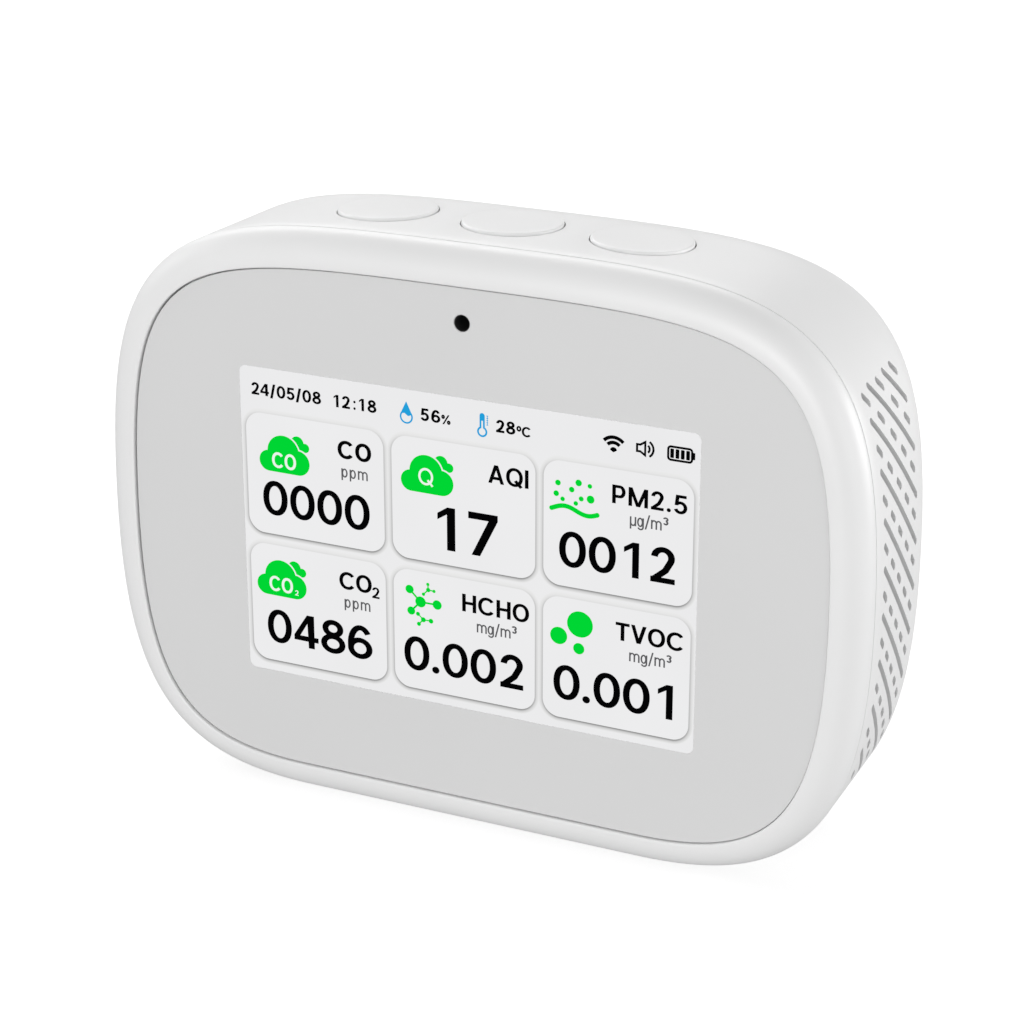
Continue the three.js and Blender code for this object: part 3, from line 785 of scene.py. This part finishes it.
def screw(name, place_xz, seat, head_radius, head_height, shank_radius, length):
    """A pan-head screw: domed head with a cross recess, and a cut thread on its shank."""
    x, height = place_xz
    tip, root = seat - length, shank_radius * THREAD_ROOT
    sections = [(0.15, tip), (shank_radius * 0.7, tip + 0.5)]
    depth = tip + 0.6
    while depth + THREAD_PITCH < seat - 0.3:
        sections += [(root, depth), (shank_radius, depth + THREAD_PITCH / 2)]
        depth += THREAD_PITCH
    sections += [(root, seat - 0.2), (root, seat), (head_radius - 0.1, seat)]
    for i in range(9):
        a = pi / 2 * i / 8
        rise = 0.15 + (head_height - 0.15) * sin(a) ** 0.8
        sections.append((head_radius * (0.55 + 0.45 * cos(a)), seat + rise))
    sections.append((0.15, seat + head_height))
    piece = new_object(f"{name}_fine", skin(bar_rings(x, height, sections, 40)))
    deep, top = seat + head_height * 0.35, seat + head_height + 1
    reach, width = head_radius * 0.55, head_radius * 0.16
    boolean(piece, "DIFFERENCE", [
        block((x - a, deep, height - b), (x + a, top, height + b))
        for a, b in ((reach, width), (width, reach))
    ])
    finish_piece(piece, plated_steel, [name], 35)


usb_socket()
usb_tongue()
for i, corner in enumerate(("top_left", "top_right", "bottom_left", "bottom_right")):
    screw(f"case_screw_{corner}", SCREW_POSTS[i], SCREW_SEAT + 0.1, **CASE_SCREW)
    screw(f"board_screw_{corner}", BOARD_POSTS[i], BOARD_SEAT, **BOARD_SCREW)

# ---- lit materials of the screen

SCREEN_LEVEL = 235
PICTURE_SHIFT = (-0.11, -0.17)


def glowing(name, colour_of):
    """A part of the lit screen: it gives its own light, and an anti-glare film kills its gloss."""
    nodes = Nodes(name, grey(0.0), 0.6)
    nodes.set("Specular IOR Level", 0.0)
    nodes.set("Emission Color", colour_of(nodes))
    nodes.set("Emission Strength", 1.0)
    return nodes.material


def lit(name, levels):
    """One colour of the screen, with a barely visible unevenness."""
    colour = tuple(linear(level) for level in levels)
    faint = tuple(c * 0.985 for c in colour)
    return glowing(name, lambda nodes: nodes.ramp(nodes.noise(60, 1), (0.35, faint), (0.65, colour)))


lit_ground = lit("lit_ground", (236, 236, 237))
lit_card = lit("lit_card", (237, 237, 238))
lit_black = lit("lit_black", (4, 4, 5))
lit_grey = lit("lit_grey", (92, 92, 94))
lit_green = lit("lit_green", (0, 214, 52))
lit_blue = lit("lit_blue", (34, 160, 219))
lit_white = lit("lit_white", (236, 246, 238))

# ---- lettering, drawn in strokes

PEN_FLATNESS = 0.8      # level strokes are this much as thick as upright ones
OVERSHOOT = 0.012       # round characters reach this much past flat ones
SMALL_HEIGHT = 0.73     # height of small letters, where capitals are one unit high
BIG_FIGURE = 5.42       # height of the meter's figures
INK_WIDTHS = {
    "0": 0.775, "1": 0.43, "2": 0.69, "3": 0.68, "4": 0.775, "5": 0.72, "6": 0.775, "7": 0.705,
    "8": 0.775, ".": 0.225, ":": 0.2, "/": 0.5, "%": 1.0, "A": 0.9, "C": 0.96, "H": 0.82,
    "M": 1.06, "O": 0.95, "P": 0.73, "Q": 0.95, "T": 0.775, "V": 0.86, "g": 0.64, "m": 1.0,
    "p": 0.64, "µ": 0.6,
}
INK_FRONT, INK_BACK = 0.40, 0.408
CARD_FRONT, SHADE_FRONT, GROUND_FRONT = 0.408, 0.414, 0.42


def arc(cx, cy, rx, ry, start, end, steps=28, squareness=1.0):
    """Points along part of an oval, angles in degrees; squareness under 1 fills out its corners."""
    points = []
    for i in range(steps + 1):
        a = radians(start + (end - start) * i / steps)
        c, s = cos(a), sin(a)
        points.append((
            cx + rx * copysign(abs(c) ** squareness, c),
            cy + ry * copysign(abs(s) ** squareness, s),
        ))
    return points


def ring_of(cx, cy, rx, ry, steps=40, squareness=1.0):
    return arc(cx, cy, rx, ry, 0, 360 - 360 / steps, steps - 1, squareness)


def prism(points):
    """A filled outline, one unit deep."""
    return skin([[Vector((x, d, z)) for x, z in points] for d in (0, 1)])


def stroke(points, width, closed=False, flatness=1.0):
    """A strip of constant width along points, one unit deep."""
    line = [Vector((x, z / flatness)) for x, z in points]
    count = len(line)
    left, right = [], []
    for i, point in enumerate(line):
        before = line[i - 1] if closed or i else None
        after = line[(i + 1) % count] if closed or i + 1 < count else None
        ways = [(b - a).normalized() for a, b in ((before, point), (point, after)) if a and b]
        along = sum(ways, Vector((0, 0))).normalized()
        across = Vector((-along.y, along.x)) * (width / 2 / max(along.dot(ways[0]), 0.5))
        for side, moved in ((left, point + across), (right, point - across)):
            side.append((moved.x, moved.y * flatness))
    bm = bmesh.new()
    edges = [
        [bm.verts.new((x, d, z)) for x, z in side]
        for side, d in ((left, 0), (right, 0), (right, 1), (left, 1))
    ]
    bridge(bm, edges + edges[:1], count if closed else count - 1)
    if not closed:
        bm.faces.new([edge[0] for edge in edges])
        bm.faces.new([edge[-1] for edge in edges][::-1])
    return bm


class Pen:
    """Draws one character in solid parts, for capitals one unit high."""

    def __init__(self, character, weight):
        self.w, self.t = weight, weight * PEN_FLATNESS
        self.width = INK_WIDTHS.get(character, weight)
        self.parts = []

    def line(self, *points, closed=False):
        self.parts.append(stroke(points, self.w, closed, PEN_FLATNESS))

    def fill(self, *points):
        self.parts.append(prism(points))

    def bow(self, cx, cy, rx, ry, start, end, steps=28, squareness=1.0, closed=False):
        """A round stroke whose outside reaches rx, and ry with its overshoot."""
        ry += OVERSHOOT - self.t / 2
        self.line(*arc(cx, cy, rx - self.w / 2, ry, start, end, steps, squareness), closed=closed)

    def oval(self, cx, cy, rx, ry, steps=48, squareness=1.0):
        self.bow(cx, cy, rx, ry, 0, 360 - 360 / steps, steps - 1, squareness, True)

    def level(self, left, right, foot):
        self.fill((left, foot), (right, foot), (right, foot + self.t), (left, foot + self.t))

    def lean(self, foot, top, low=0.0, high=1.0, boldness=1.0):
        """A straight stroke with level ends, from x foot at the bottom to x top."""
        half = self.w / 2 * boldness
        self.fill((foot - half, low), (foot + half, low), (top + half, high), (top - half, high))


def draw_figure(pen, character):
    w, t, h, v = pen.w, pen.t, pen.w / 2, pen.t / 2
    width, middle = pen.width, pen.width / 2
    if character == "0":
        pen.oval(middle, 0.5, middle, 0.5, 56, 0.93)
    elif character == "1":
        pen.fill(
            (0, 0.69), (width - w, 0.835), (width - w, 0), (width, 0), (width, 1),
            (width - w * 0.95, 1), (0, 0.84),
        )
    elif character == "2":
        bowl = arc(middle, 0.7 + OVERSHOOT, middle - h - 0.01, 0.3 - v, 178, -30)
        pen.line(*bowl, (0.42, 0.36), (h + 0.03, v + 0.035))
        pen.level(0, width, 0)
        pen.fill((0, 0), (0.2, 0), (0.26, t * 1.4), (0, t))
    elif character == "3":
        pen.bow(middle - 0.02, 0.73, 0.24 + h, 0.27, 165, -90)
        pen.bow(middle, 0.29, 0.34, 0.29, 90, -165)
    elif character == "4":
        pen.fill((0.455, 0), (0.455 + w, 0), (0.455 + w, 1), (0.42, 1))
        pen.level(0, width, 0.2)
        pen.fill((0, 0.3), (0, 0.2 + t), (0.42, 1), (0.455 + w, 1), (0.455, 0.79), (0.185, 0.34))
    elif character == "5":
        pen.bow(0.35, 0.33, 0.37, 0.33, 140, -160)
        pen.level(0.1, 0.67, 1 - t)
        pen.lean(0.035 + h, 0.1 + h, 0.44)
    elif character == "6":
        pen.bow(middle + 0.02, 0.42, middle + 0.02, 0.58, 190, 42)
        pen.oval(middle, 0.31, middle, 0.31)
    elif character == "7":
        pen.fill(
            (0, 1), (width, 1), (width, 0.86), (0.28, 0), (0.075, 0), (0.485, 1 - t), (0, 1 - t),
        )
    elif character == "8":
        pen.oval(middle, 0.745, middle - 0.055, 0.255, 44)
        pen.oval(middle, 0.285, middle, 0.285)


def draw_sign(pen, character):
    middle = pen.width / 2
    if character in ".:":
        for z in (0.11, 0.64) if character == ":" else (0.105,):
            pen.fill(*ring_of(middle, z, middle, 0.105, 28))
    elif character == "/":
        pen.lean(pen.w / 2, pen.width - pen.w / 2, -0.12, 1.05)
    elif character == "%":
        for x, z in ((0.2, 0.76), (0.8, 0.24)):
            pen.line(*ring_of(x, z, 0.2 - pen.w / 2, 0.24 - pen.w / 2, 28), closed=True)
        pen.lean(0.2, 0.8)


def draw_capital(pen, character):
    t, h, v = pen.t, pen.w / 2, pen.t / 2
    width, middle = pen.width, pen.width / 2
    if character == "P":
        pen.line((h, 1 - v), *arc(0.42, 0.655, 0.31 - h, 0.345 - v, 90, -90, 20), (h, 0.31 + v))
    if character in "HIMP":
        pen.lean(h, h)
    if character in "HM":
        pen.lean(width - h, width - h)
    if character == "A":
        pen.lean(h, middle - 0.01)
        pen.lean(width - h, middle + 0.01)
        pen.level(0.2, width - 0.2, 0.2)
    elif character == "C":
        pen.bow(0.505, 0.5, 0.505, 0.5, 39, 321, 40, 0.95)
    elif character == "H":
        pen.level(h, width - h, 0.5 - v)
    elif character == "M":
        pen.lean(middle - 0.005, h + 0.01, boldness=1.02)
        pen.lean(middle + 0.005, width - h - 0.01, boldness=1.02)
    elif character in "OQ":
        if character == "Q":
            pen.line((0.52, 0.32), (0.86, -0.02))
        pen.oval(middle, 0.5, middle, 0.5, 56, 0.93)
    elif character == "T":
        pen.lean(middle, middle)
        pen.level(0, width, 1 - t)
    elif character == "V":
        pen.lean(middle - 0.01, h)
        pen.lean(middle + 0.01, width - h)


def draw_small_letter(pen, character):
    h, v = pen.w / 2, pen.t / 2
    right = pen.width - h
    if character == "g":
        pen.line((right, SMALL_HEIGHT), *arc(0.33, 0.0, 0.31 - h, 0.25 - v, 0, -160, 20))
        pen.oval(0.29, 0.375, 0.29, 0.365, 36)
    elif character == "m":
        for foot in (0.0, 0.5 - h):
            arch = arc(foot + 0.25 + h / 2, 0.46, 0.25 - h / 2, 0.275 - v, 180, 0, 20)
            pen.line(*arch, (foot + 0.5, 0))
        pen.lean(h, h, 0, SMALL_HEIGHT)
    elif character == "p":
        pen.oval(0.34, 0.365, 0.3, 0.365, 36)
        pen.lean(h, h, -0.25, SMALL_HEIGHT)
    elif character == "µ":
        pen.line((h, 0.5), *arc(0.3, 0.3, 0.3 - h, 0.3 + OVERSHOOT - v, 180, 360, 20))
        pen.lean(h, h, -0.25, SMALL_HEIGHT)
        pen.lean(right, right, 0, SMALL_HEIGHT)


def joined(parts, cut=()):
    """One mesh of overlapping solids, less the solids in cut."""
    piece = new_object("joined", parts[0])
    boolean(piece, "UNION", parts[1:])
    boolean(piece, "DIFFERENCE", cut)
    mesh = piece.data
    bpy.data.objects.remove(piece)
    return mesh


glyph_meshes = {}


def glyph(character, weight):
    """The character's solid, made once for each weight, and its ink width."""
    key = (character, weight)
    if key not in glyph_meshes:
        pen = Pen(character, weight)
        if character.isdigit():
            draw_figure(pen, character)
        elif character.isupper():
            draw_capital(pen, character)
        elif character.islower():
            draw_small_letter(pen, character)
        else:
            draw_sign(pen, character)
        glyph_meshes[key] = (joined(pen.parts), pen.width)
    return glyph_meshes[key]


class Layer:
    """One colour of the screen's picture, gathered into a single mesh."""

    def __init__(self, name, material, front=INK_FRONT, back=INK_BACK):
        self.name, self.material, self.front, self.back = name, material, front, back
        self.bm = bmesh.new()

    def add_mesh(self, mesh, x=0.0, z=0.0, size=1.0, narrow=1.0):
        """Adds a solid drawn in units of size with its own origin at (x, z)."""
        start = len(self.bm.verts)
        self.bm.from_mesh(mesh)
        self.bm.verts.ensure_lookup_table()
        px, pz = PICTURE_SHIFT
        for vertex in self.bm.verts[start:]:
            depth = self.front + vertex.co.y * (self.back - self.front)
            vertex.co = place(px + x + vertex.co.x * size * narrow, depth, pz + z + vertex.co.z * size)

    def add(self, bm, x=0.0, z=0.0, size=1.0):
        bmesh.ops.recalc_face_normals(bm, faces=bm.faces)
        mesh = bpy.data.meshes.new("part")
        bm.to_mesh(mesh)
        bm.free()
        self.add_mesh(mesh, x, z, size)
        bpy.data.meshes.remove(mesh)

    def disc(self, x, z, radius, steps=44):
        self.add(prism(ring_of(0, 0, radius, radius, steps)), x, z)

    def word(self, text, left, right, baseline, cap, weight, narrow=1.0):
        """Spaces text evenly so that its ink runs from left to right."""
        inks = [glyph(character, weight)[1] * cap * narrow for character in text]
        gap = (right - left - sum(inks)) / max(len(text) - 1, 1)
        for character, ink in zip(text, inks):
            self.add_mesh(glyph(character, weight)[0], left, baseline, cap, narrow)
            left += ink + gap

    def reading(self, text, left, baseline, cap=BIG_FIGURE, weight=0.192):
        """Figures on an even pitch, as a meter shows them."""
        inset = {"1": 0.145, "2": 0.045, "7": 0.035}
        for character in text:
            mesh = glyph(character, weight)[0]
            self.add_mesh(mesh, left + inset.get(character, 0) * cap, baseline, cap)
            left += (0.322 if character == "." else 0.855) * cap

    def finish(self):
        piece = new_object(self.name, self.bm)
        finish_piece(piece, self.material)


# ---- picture on the screen

COLUMNS = [(-35.9, -12.8), (-11.45, 11.65), (12.95, 35.9)]
ROWS = [(17.35, -1.75), (-3.55, -22.7)]
ROW_DROP = 20.93
CARD_RADIUS = 2.6
DROP_SIZE = 0.97
ICON_LINE = 0.33
LABEL, SMALL_TEXT = 2.8, 1.9
UPPER_LABELS, LOWER_LABELS = 12.25, -8.65
UPPER_UNITS, LOWER_UNITS = 9.3, 9.3 - ROW_DROP
TOP_LINE = 20.12

black = Layer("screen_black_ink", lit_black)
soft_grey = Layer("screen_grey_ink", lit_grey)
green = Layer("screen_green_ink", lit_green)
blue = Layer("screen_blue_ink", lit_blue)
white = Layer("screen_white_ink", lit_white, INK_FRONT - 0.006, INK_FRONT - 0.001)
cards = Layer("screen_cards", lit_card, CARD_FRONT, SHADE_FRONT)

# figures, left edge, baseline, and where they aren't the usual ones, height and weight
READINGS = [
    ("0000", -33.35, 1.37), ("17", -5.03, 0.57, 6.73, 0.2), ("0012", 15.42, 1.37),
    ("0486", -33.35, -19.62), ("0.002", -9.83, -19.66), ("0.001", 14.66, -19.66),
]

# text, left and right edges of its ink, baseline, height of its capitals, and weight
WORDS = [
    ("CO", -20.4, -14.8, UPPER_LABELS, LABEL, 0.235),
    ("AQI", 4.2, 10.58, UPPER_LABELS, LABEL, 0.205),
    ("PM2.5", 23.55, 34.92, UPPER_LABELS, LABEL, 0.2),
    ("CO", -20.65, -15.15, LOWER_LABELS, LABEL, 0.22),
    ("2", -15.1, -13.7, LOWER_LABELS - 0.6, 1.78, 0.21),
    ("HCHO", -0.12, 10.72, LOWER_LABELS, LABEL, 0.212),
    ("TVOC", 24.38, 34.95, LOWER_LABELS, LABEL, 0.212),
    ("24/05/08", -34.72, -22.95, TOP_LINE, SMALL_TEXT, 0.225),
    ("12:18", -20.85, -13.78, TOP_LINE, SMALL_TEXT, 0.225),
    ("56", -6.6, -3.4, TOP_LINE, SMALL_TEXT, 0.23),
    ("%", -3.25, -1.85, TOP_LINE - 0.06, 1.48, 0.185),
    ("28", 5.47, 8.5, TOP_LINE, SMALL_TEXT, 0.23),
    ("C", 9.5, 10.85, TOP_LINE - 0.06, 1.52, 0.24),
]


def units():
    for left, right, baseline, unit in [
        (-19.85, -15.45, UPPER_UNITS, "ppm"),
        (26.3, 31.15, UPPER_UNITS, "µg/m"),
        (-19.85, -15.45, LOWER_UNITS, "ppm"),
        (2.25, 7.75, LOWER_UNITS, "mg/m"),
        (26.55, 32.1, LOWER_UNITS, "mg/m"),
    ]:
        soft_grey.word(unit, left, right, baseline, SMALL_TEXT, 0.15, 0.86)
        if unit.endswith("/m"):
            soft_grey.word("3", right + 0.2, right + 1.0, baseline + 0.9, 1.17, 0.25)


def cloud_parts(grow=0.0):
    """The main cloud, with its flat foot at height 0 and its left edge at x 0."""
    lobes = [(1.65, 1.68, 1.65), (4.1, 3.25, 2.68), (6.6, 1.95, 1.95)]
    shapes = [prism(ring_of(x, z, r + grow, r + grow, 48)) for x, z, r in lobes]
    foot = [(1.65, 0.03 - grow), (6.6, -grow), (6.6, 1.9), (1.65, 1.9)]
    return [*shapes, prism(foot)]


def cloud(left, foot):
    """A cloud with a smaller one behind its shoulder, parted by a thin line."""
    green.add_mesh(joined(cloud_parts()), left, foot)
    small = [
        prism(ring_of(6.55, 5.1, 1.08, 1.08, 36)), prism(ring_of(7.85, 4.5, 0.72, 0.72, 32)),
        prism([(5.9, 4.2), (7.9, 3.8), (8.3, 4.9), (6.9, 5.6)]),
    ]
    green.add_mesh(joined(small, cloud_parts(0.24)), left, foot)


def clouds():
    """Clouds for the two gases and the air quality, each with its sign on it."""
    cloud(-33.75, 8.35)
    cloud(-9.95, 8.95)
    cloud(-34.9, -11.85)
    white.word("CO", -31.6, -27.5, 9.05, 2.45, 0.21, 0.84)
    white.word("CO", -32.8, -28.7, -11.1, 2.45, 0.21, 0.84)
    white.word("2", -28.35, -27.7, -11.2, 0.85, 0.2)
    white.add(stroke(ring_of(0, 0, 1.03, 1.16), 0.36, True), -5.88, 11.55)
    white.add(stroke([(0.3, -0.5), (1.1, -1.4)], 0.34), -5.88, 11.55)


def dust():
    """Nine specks over a wavy line, with round ends."""
    for speck in [
        (15.18, 13.98, 0.43), (18.38, 14.42, 0.5), (20.12, 14.18, 0.35), (17.32, 13.25, 0.42),
        (14.92, 12.32, 0.43), (15.92, 11.62, 0.35), (18.8, 12.07, 0.38), (20.25, 12.2, 0.6),
        (17.97, 11.25, 0.35),
    ]:
        green.disc(*speck, 28)
    turns = [i / 24 for i in range(25)]
    wave = [(14.2 + 7.1 * t, 10.12 + 0.5 * sin(2 * pi * (t - 0.04))) for t in turns]
    green.add(stroke(wave, 0.7))
    for x, z in (wave[0], wave[-1]):
        green.disc(x, z, 0.36, 28)


def bubbles():
    for bubble in [(18.8, -7.33, 2.03), (15.45, -9.68, 1.35), (18.65, -11.18, 0.88)]:
        green.disc(*bubble)


def molecule(bond, balls):
    """Balls (x, height, radius) bonded to a hub, which is the second of them."""
    x, z, radius = balls[1]
    parts = [prism(ring_of(x, z, radius, radius))]
    for px, pz, r in (balls[0], *balls[2:]):
        parts += [stroke([(x, z), (px, pz)], bond), prism(ring_of(px, pz, r, r, 28))]
    green.add_mesh(joined(parts))


def molecules():
    molecule(0.3, [(-8.8, -6.7, 0.68), (-7.0, -8.45, 0.87), (-4.25, -8.45, 0.75), (-8.57, -10.12, 0.65)])
    molecule(0.2, [(-5.75, -5.42, 0.26), (-5.7, -6.3, 0.35), (-4.75, -6.35, 0.26), (-6.5, -7.12, 0.27)])
    molecule(0.2, [
        (-7.45, -10.45, 0.33), (-6.57, -11.25, 0.4), (-5.3, -11.25, 0.38), (-7.32, -12.05, 0.33),
    ])


def drop_icon(x, z):
    """A drop, filled up to a wavy line."""
    tip, belly = (0, 1.63), (0, -0.55, 0.96, 0.96)
    blue.add(stroke([tip, *arc(*belly, 40, -220, 40)], 0.26, True), x, z, DROP_SIZE)
    water_line = [(0.72, -0.22), (0.42, -0.38), (0.18, -0.34), (-0.3, 0.02), (-0.84, -0.04)]
    water = [tip, *arc(*belly, 40, 18, 10), *water_line, *arc(*belly, 150, 140, 4)]
    blue.add(prism(water), x, z, DROP_SIZE)


def thermometer_icon(x, z):
    """A tube with a bulb, and a scale of five ticks beside it."""
    tube = [*arc(0, 1.35, 0.27, 0.27, 180, 0, 12), *arc(0, -1.06, 0.67, 0.67, 66, -246, 30)]
    blue.add(stroke(tube, 0.28, True), x, z)
    blue.add(prism([(-0.25, 0.6), (0.25, 0.6), *arc(0, 1.33, 0.25, 0.25, 0, 180, 12)]), x, z)
    for i in range(5):
        blue.add(stroke([(0.66, 1.42 - 0.34 * i), (0.96, 1.42 - 0.34 * i)], 0.11), x, z)
    blue.add(stroke([(0.84, 1.42), (0.84, 0.06)], 0.08), x, z)


def degree_sign(x, z):
    black.add(stroke(ring_of(0, 0, 0.25, 0.29, 24), 0.28, True), x, z)


def wireless_icon(x, z):
    for radius in (2.02, 1.24):
        black.add(stroke(arc(0, 0, radius, radius, 137, 43, 24), 0.53), x, z)
    black.add(prism([(0, -0.22), *arc(0, 0.1, 0.52, 0.46, 0, 180, 16)]), x, z)


def speaker_icon(x, z):
    horn = [(-1.25, -0.5), (-0.75, -0.5), (-0.02, -0.98), (-0.02, 0.98), (-0.75, 0.5), (-1.25, 0.5)]
    black.add(stroke(horn, ICON_LINE, True), x, z)
    for radius, reach in ((0.7, 48), (1.28, 58)):
        black.add(stroke(arc(-0.06, 0, radius, radius, -reach, reach, 16), ICON_LINE), x, z)


def battery_icon(x, z):
    """A battery showing four bars."""
    black.add(stroke(rounded_corners(3.55, 1.95, 0.4, 5), ICON_LINE, True), x, z)
    black.add(prism([(1.85, -0.55), (2.24, -0.5), (2.24, 0.5), (1.85, 0.55)]), x, z)
    for i in range(4):
        black.add(prism(rounded_corners(0.56, 1.38, 0.12, 3)), x - 1.19 + 0.79 * i, z)


def card_grid():
    """Middle, width and height of each of the six cards."""
    for left, right in COLUMNS:
        for top, foot in ROWS:
            yield (left + right) / 2, (top + foot) / 2, right - left, top - foot


for reading in READINGS:
    black.reading(*reading)
for word in WORDS:
    black.word(*word)
degree_sign(9.05, 21.15)
units()
clouds()
dust()
bubbles()
molecules()
drop_icon(-8.91, 20.85)
thermometer_icon(3.27, 20.9)
wireless_icon(23.65, 20.05)
speaker_icon(28.45, 21.1)
battery_icon(33.65, 21.05)
for x, z, width, height in card_grid():
    cards.add(prism(rounded_corners(width, height, CARD_RADIUS, 12)), x, z)
for layer in (black, soft_grey, green, blue, white, cards):
    layer.finish()

# how far each rim lies outside its card, its distance in front of the ground, and its strength
SHADE_RIMS = [
    (-0.25, 0.0, 0.0), (-0.25, 0.004, 1.0), (0.1, 0.004, 1.0),
    (0.32, 0.003, 0.42), (0.75, 0.001, 0.0), (0.75, 0.0, 0.0),
]


def shade_colours(nodes):
    attribute = nodes.tree.nodes.new("ShaderNodeVertexColor")
    attribute.layer_name = "shade"
    return attribute.outputs["Color"]


def card_shades():
    """A soft edge round each card: dark below, lighter at the sides, faint on top."""
    bm = bmesh.new()
    shade = bm.loops.layers.float_color.new("shade")
    shift_x, shift_z = PICTURE_SHIFT
    levels = {}
    for x, z, width, height in card_grid():
        rims = []
        for grow, lift, strength in SHADE_RIMS:
            reach = height / 2 + grow
            rim = []
            for px, pz in rounded_corners(width + 2 * grow, 2 * reach, CARD_RADIUS + grow, 12):
                low, high = max(0.0, -pz / reach) ** 6, max(0.0, pz / reach) ** 6
                dark = 0.34 + 0.32 * low - 0.24 * high
                point = place(x + px + shift_x, GROUND_FRONT - lift, z + pz + shift_z)
                rim.append(bm.verts.new(point))
                levels[rim[-1]] = linear(SCREEN_LEVEL) * (1 - dark * strength)
            rims.append(rim)
        bridge(bm, rims + rims[:1], len(rims[0]))
    for face in bm.faces:
        for loop in face.loops:
            loop[shade] = (*grey(levels[loop.vert]), 1)
    piece = new_object("screen_card_edges", bm)
    finish_piece(piece, glowing("lit_card_edge", shade_colours))


card_shades()

# ---- front panel and its clear window

PANEL_FRONT = panel_low.y / MM - FRONT_Y
PANEL_BACK = panel_high.y / MM - FRONT_Y
PANEL_EDGE, PANEL_CHAMFER = OPENING_GROW - 0.18, 0.08
PANEL_SIDE_PLAY = 0.13
SLEEVE_BACK, SLEEVE_FLANGE = 5.6, 2.5
WINDOW_RADIUS, WINDOW_PLAY = 1.1, 0.02


def window_block(inset, front, back):
    """The screen's window, less an inset all round."""
    x, z = PICTURE_SHIFT
    points = rounded_corners(SCREEN_WIDTH - 2 * inset, SCREEN_HEIGHT - 2 * inset, WINDOW_RADIUS, 8)
    return extruded([(x + px, z + pz) for px, pz in points], front, back)


def front_panel():
    """The flat sheet, seated towards the right-hand side of its opening."""
    sections = [
        (PANEL_EDGE - PANEL_CHAMFER, PANEL_FRONT, OPENING_LEAN),
        (PANEL_EDGE, PANEL_FRONT + PANEL_CHAMFER, OPENING_LEAN),
        (PANEL_EDGE, PANEL_BACK, OPENING_LEAN),
    ]
    piece = new_object("front_panel_sheet", loft(sections, 9))
    piece.data.transform(Matrix.Translation((PANEL_SIDE_PLAY * MM, 0, 0)))
    rim = SENSOR_HOLE_RADIUS
    hole = skin(bar_rings(0, SENSOR_HOLE_HEIGHT, [
        (rim + 0.2, PANEL_FRONT - 0.1), (rim, PANEL_FRONT + 0.1), (rim, PANEL_BACK + 1),
    ], 64))
    boolean(piece, "DIFFERENCE", [merge([window_block(0, 0, 3), hole])])
    finish_piece(piece, panel_grey, ["front_panel"])


def screen_window():
    piece = new_object("screen_window", window_block(WINDOW_PLAY, GROUND_FRONT, PANEL_BACK))
    finish_piece(piece, lit_ground)


def sensor_eyelet():
    """The black sleeve behind the sensor's hole, with a thin collar that lines it."""
    bore, collar = SENSOR_HOLE_RADIUS - 0.14, SENSOR_HOLE_RADIUS - 0.02
    step = LEDGE_BACK + 0.1
    sections = [
        (bore + 0.06, PANEL_FRONT + 0.12), (collar, PANEL_FRONT + 0.18), (collar, step),
        (SLEEVE_FLANGE, step), (SLEEVE_FLANGE, SLEEVE_BACK), (bore, SLEEVE_BACK),
        (bore, PANEL_FRONT + 0.18),
    ]
    piece = new_object("sensor_eyelet", skin(bar_rings(0, SENSOR_HOLE_HEIGHT, sections, 64), True))
    finish_piece(piece, black_plastic, ["sensor_sleeve"])


front_panel()
screen_window()
sensor_eyelet()

# ---- stage and lights

ROOM_LIGHT = 0.434
FLOOR_GLOW, FLOOR_WHITE = 0.72, 0.42
FLOOR_REACH, FLOOR_RISE, FLOOR_SIDES, FLOOR_STEPS = 1.6, 1.2, 96, 12
LIGHT_DISTANCE, LIGHT_SIZE = 1.0, 0.5
SOFTBOXES = [
    ("left", -86, 24, 2.1),
    ("back_left", -130, 33, 2.2),
    ("back", -158, 42, 2.8),
    ("front", 0, 5, 5.7),
    ("front_right", 62, 2, 2.1),
    ("right", 122, 2, 7.3),
]


def softbox(name, azimuth, elevation, watts):
    """A square soft light aimed at the object; azimuth runs from the front towards +X."""
    data = bpy.data.lights.new(name, "AREA")
    data.energy = watts
    data.size = LIGHT_SIZE
    light = bpy.data.objects.new(name, data)
    a, e = radians(azimuth), radians(elevation)
    way = Vector((sin(a) * cos(e), -cos(a) * cos(e), sin(e)))
    light.location = (cad_low + cad_high) / 2 + way * LIGHT_DISTANCE
    light.rotation_euler = way.to_track_quat("Z", "Y").to_euler()
    bpy.context.scene.collection.objects.link(light)


def paper_sweep():
    """A round white floor that curves up into a wall, and throws no light back on the object."""
    profile = [(FLOOR_REACH, 0)]
    for i in range(1, FLOOR_STEPS + 1):
        a = pi / 2 * i / FLOOR_STEPS
        profile.append((FLOOR_REACH + FLOOR_RISE * sin(a), FLOOR_RISE * (1 - cos(a))))
    profile.append((FLOOR_REACH + FLOOR_RISE, 2 * FLOOR_RISE))
    bm = bmesh.new()
    rings = [[bm.verts.new((x, y, z)) for x, y in circle(r, FLOOR_SIDES)] for r, z in profile]
    bm.faces.new(rings[0])
    bridge(bm, rings, FLOOR_SIDES)
    sweep = new_object("paper_sweep", bm)
    sweep.data.shade_smooth()
    sweep.visible_diffuse = sweep.visible_glossy = False
    paper = Nodes("white_paper", grey(FLOOR_WHITE), 0.9)
    paper.set("Specular IOR Level", 0.0)
    paper.set("Emission Color", (1, 1, 1, 1))
    paper.set("Emission Strength", FLOOR_GLOW)
    sweep.data.materials.append(paper.material)


def studio():
    bpy.context.scene.view_settings.view_transform = "Standard"
    world = bpy.data.worlds.new("world")
    bpy.context.scene.world = world
    world.use_nodes = True
    background = world.node_tree.nodes["Background"]
    background.inputs["Color"].default_value = (1, 1, 1, 1)
    background.inputs["Strength"].default_value = ROOM_LIGHT
    for values in SOFTBOXES:
        softbox(*values)


paper_sweep()
studio()
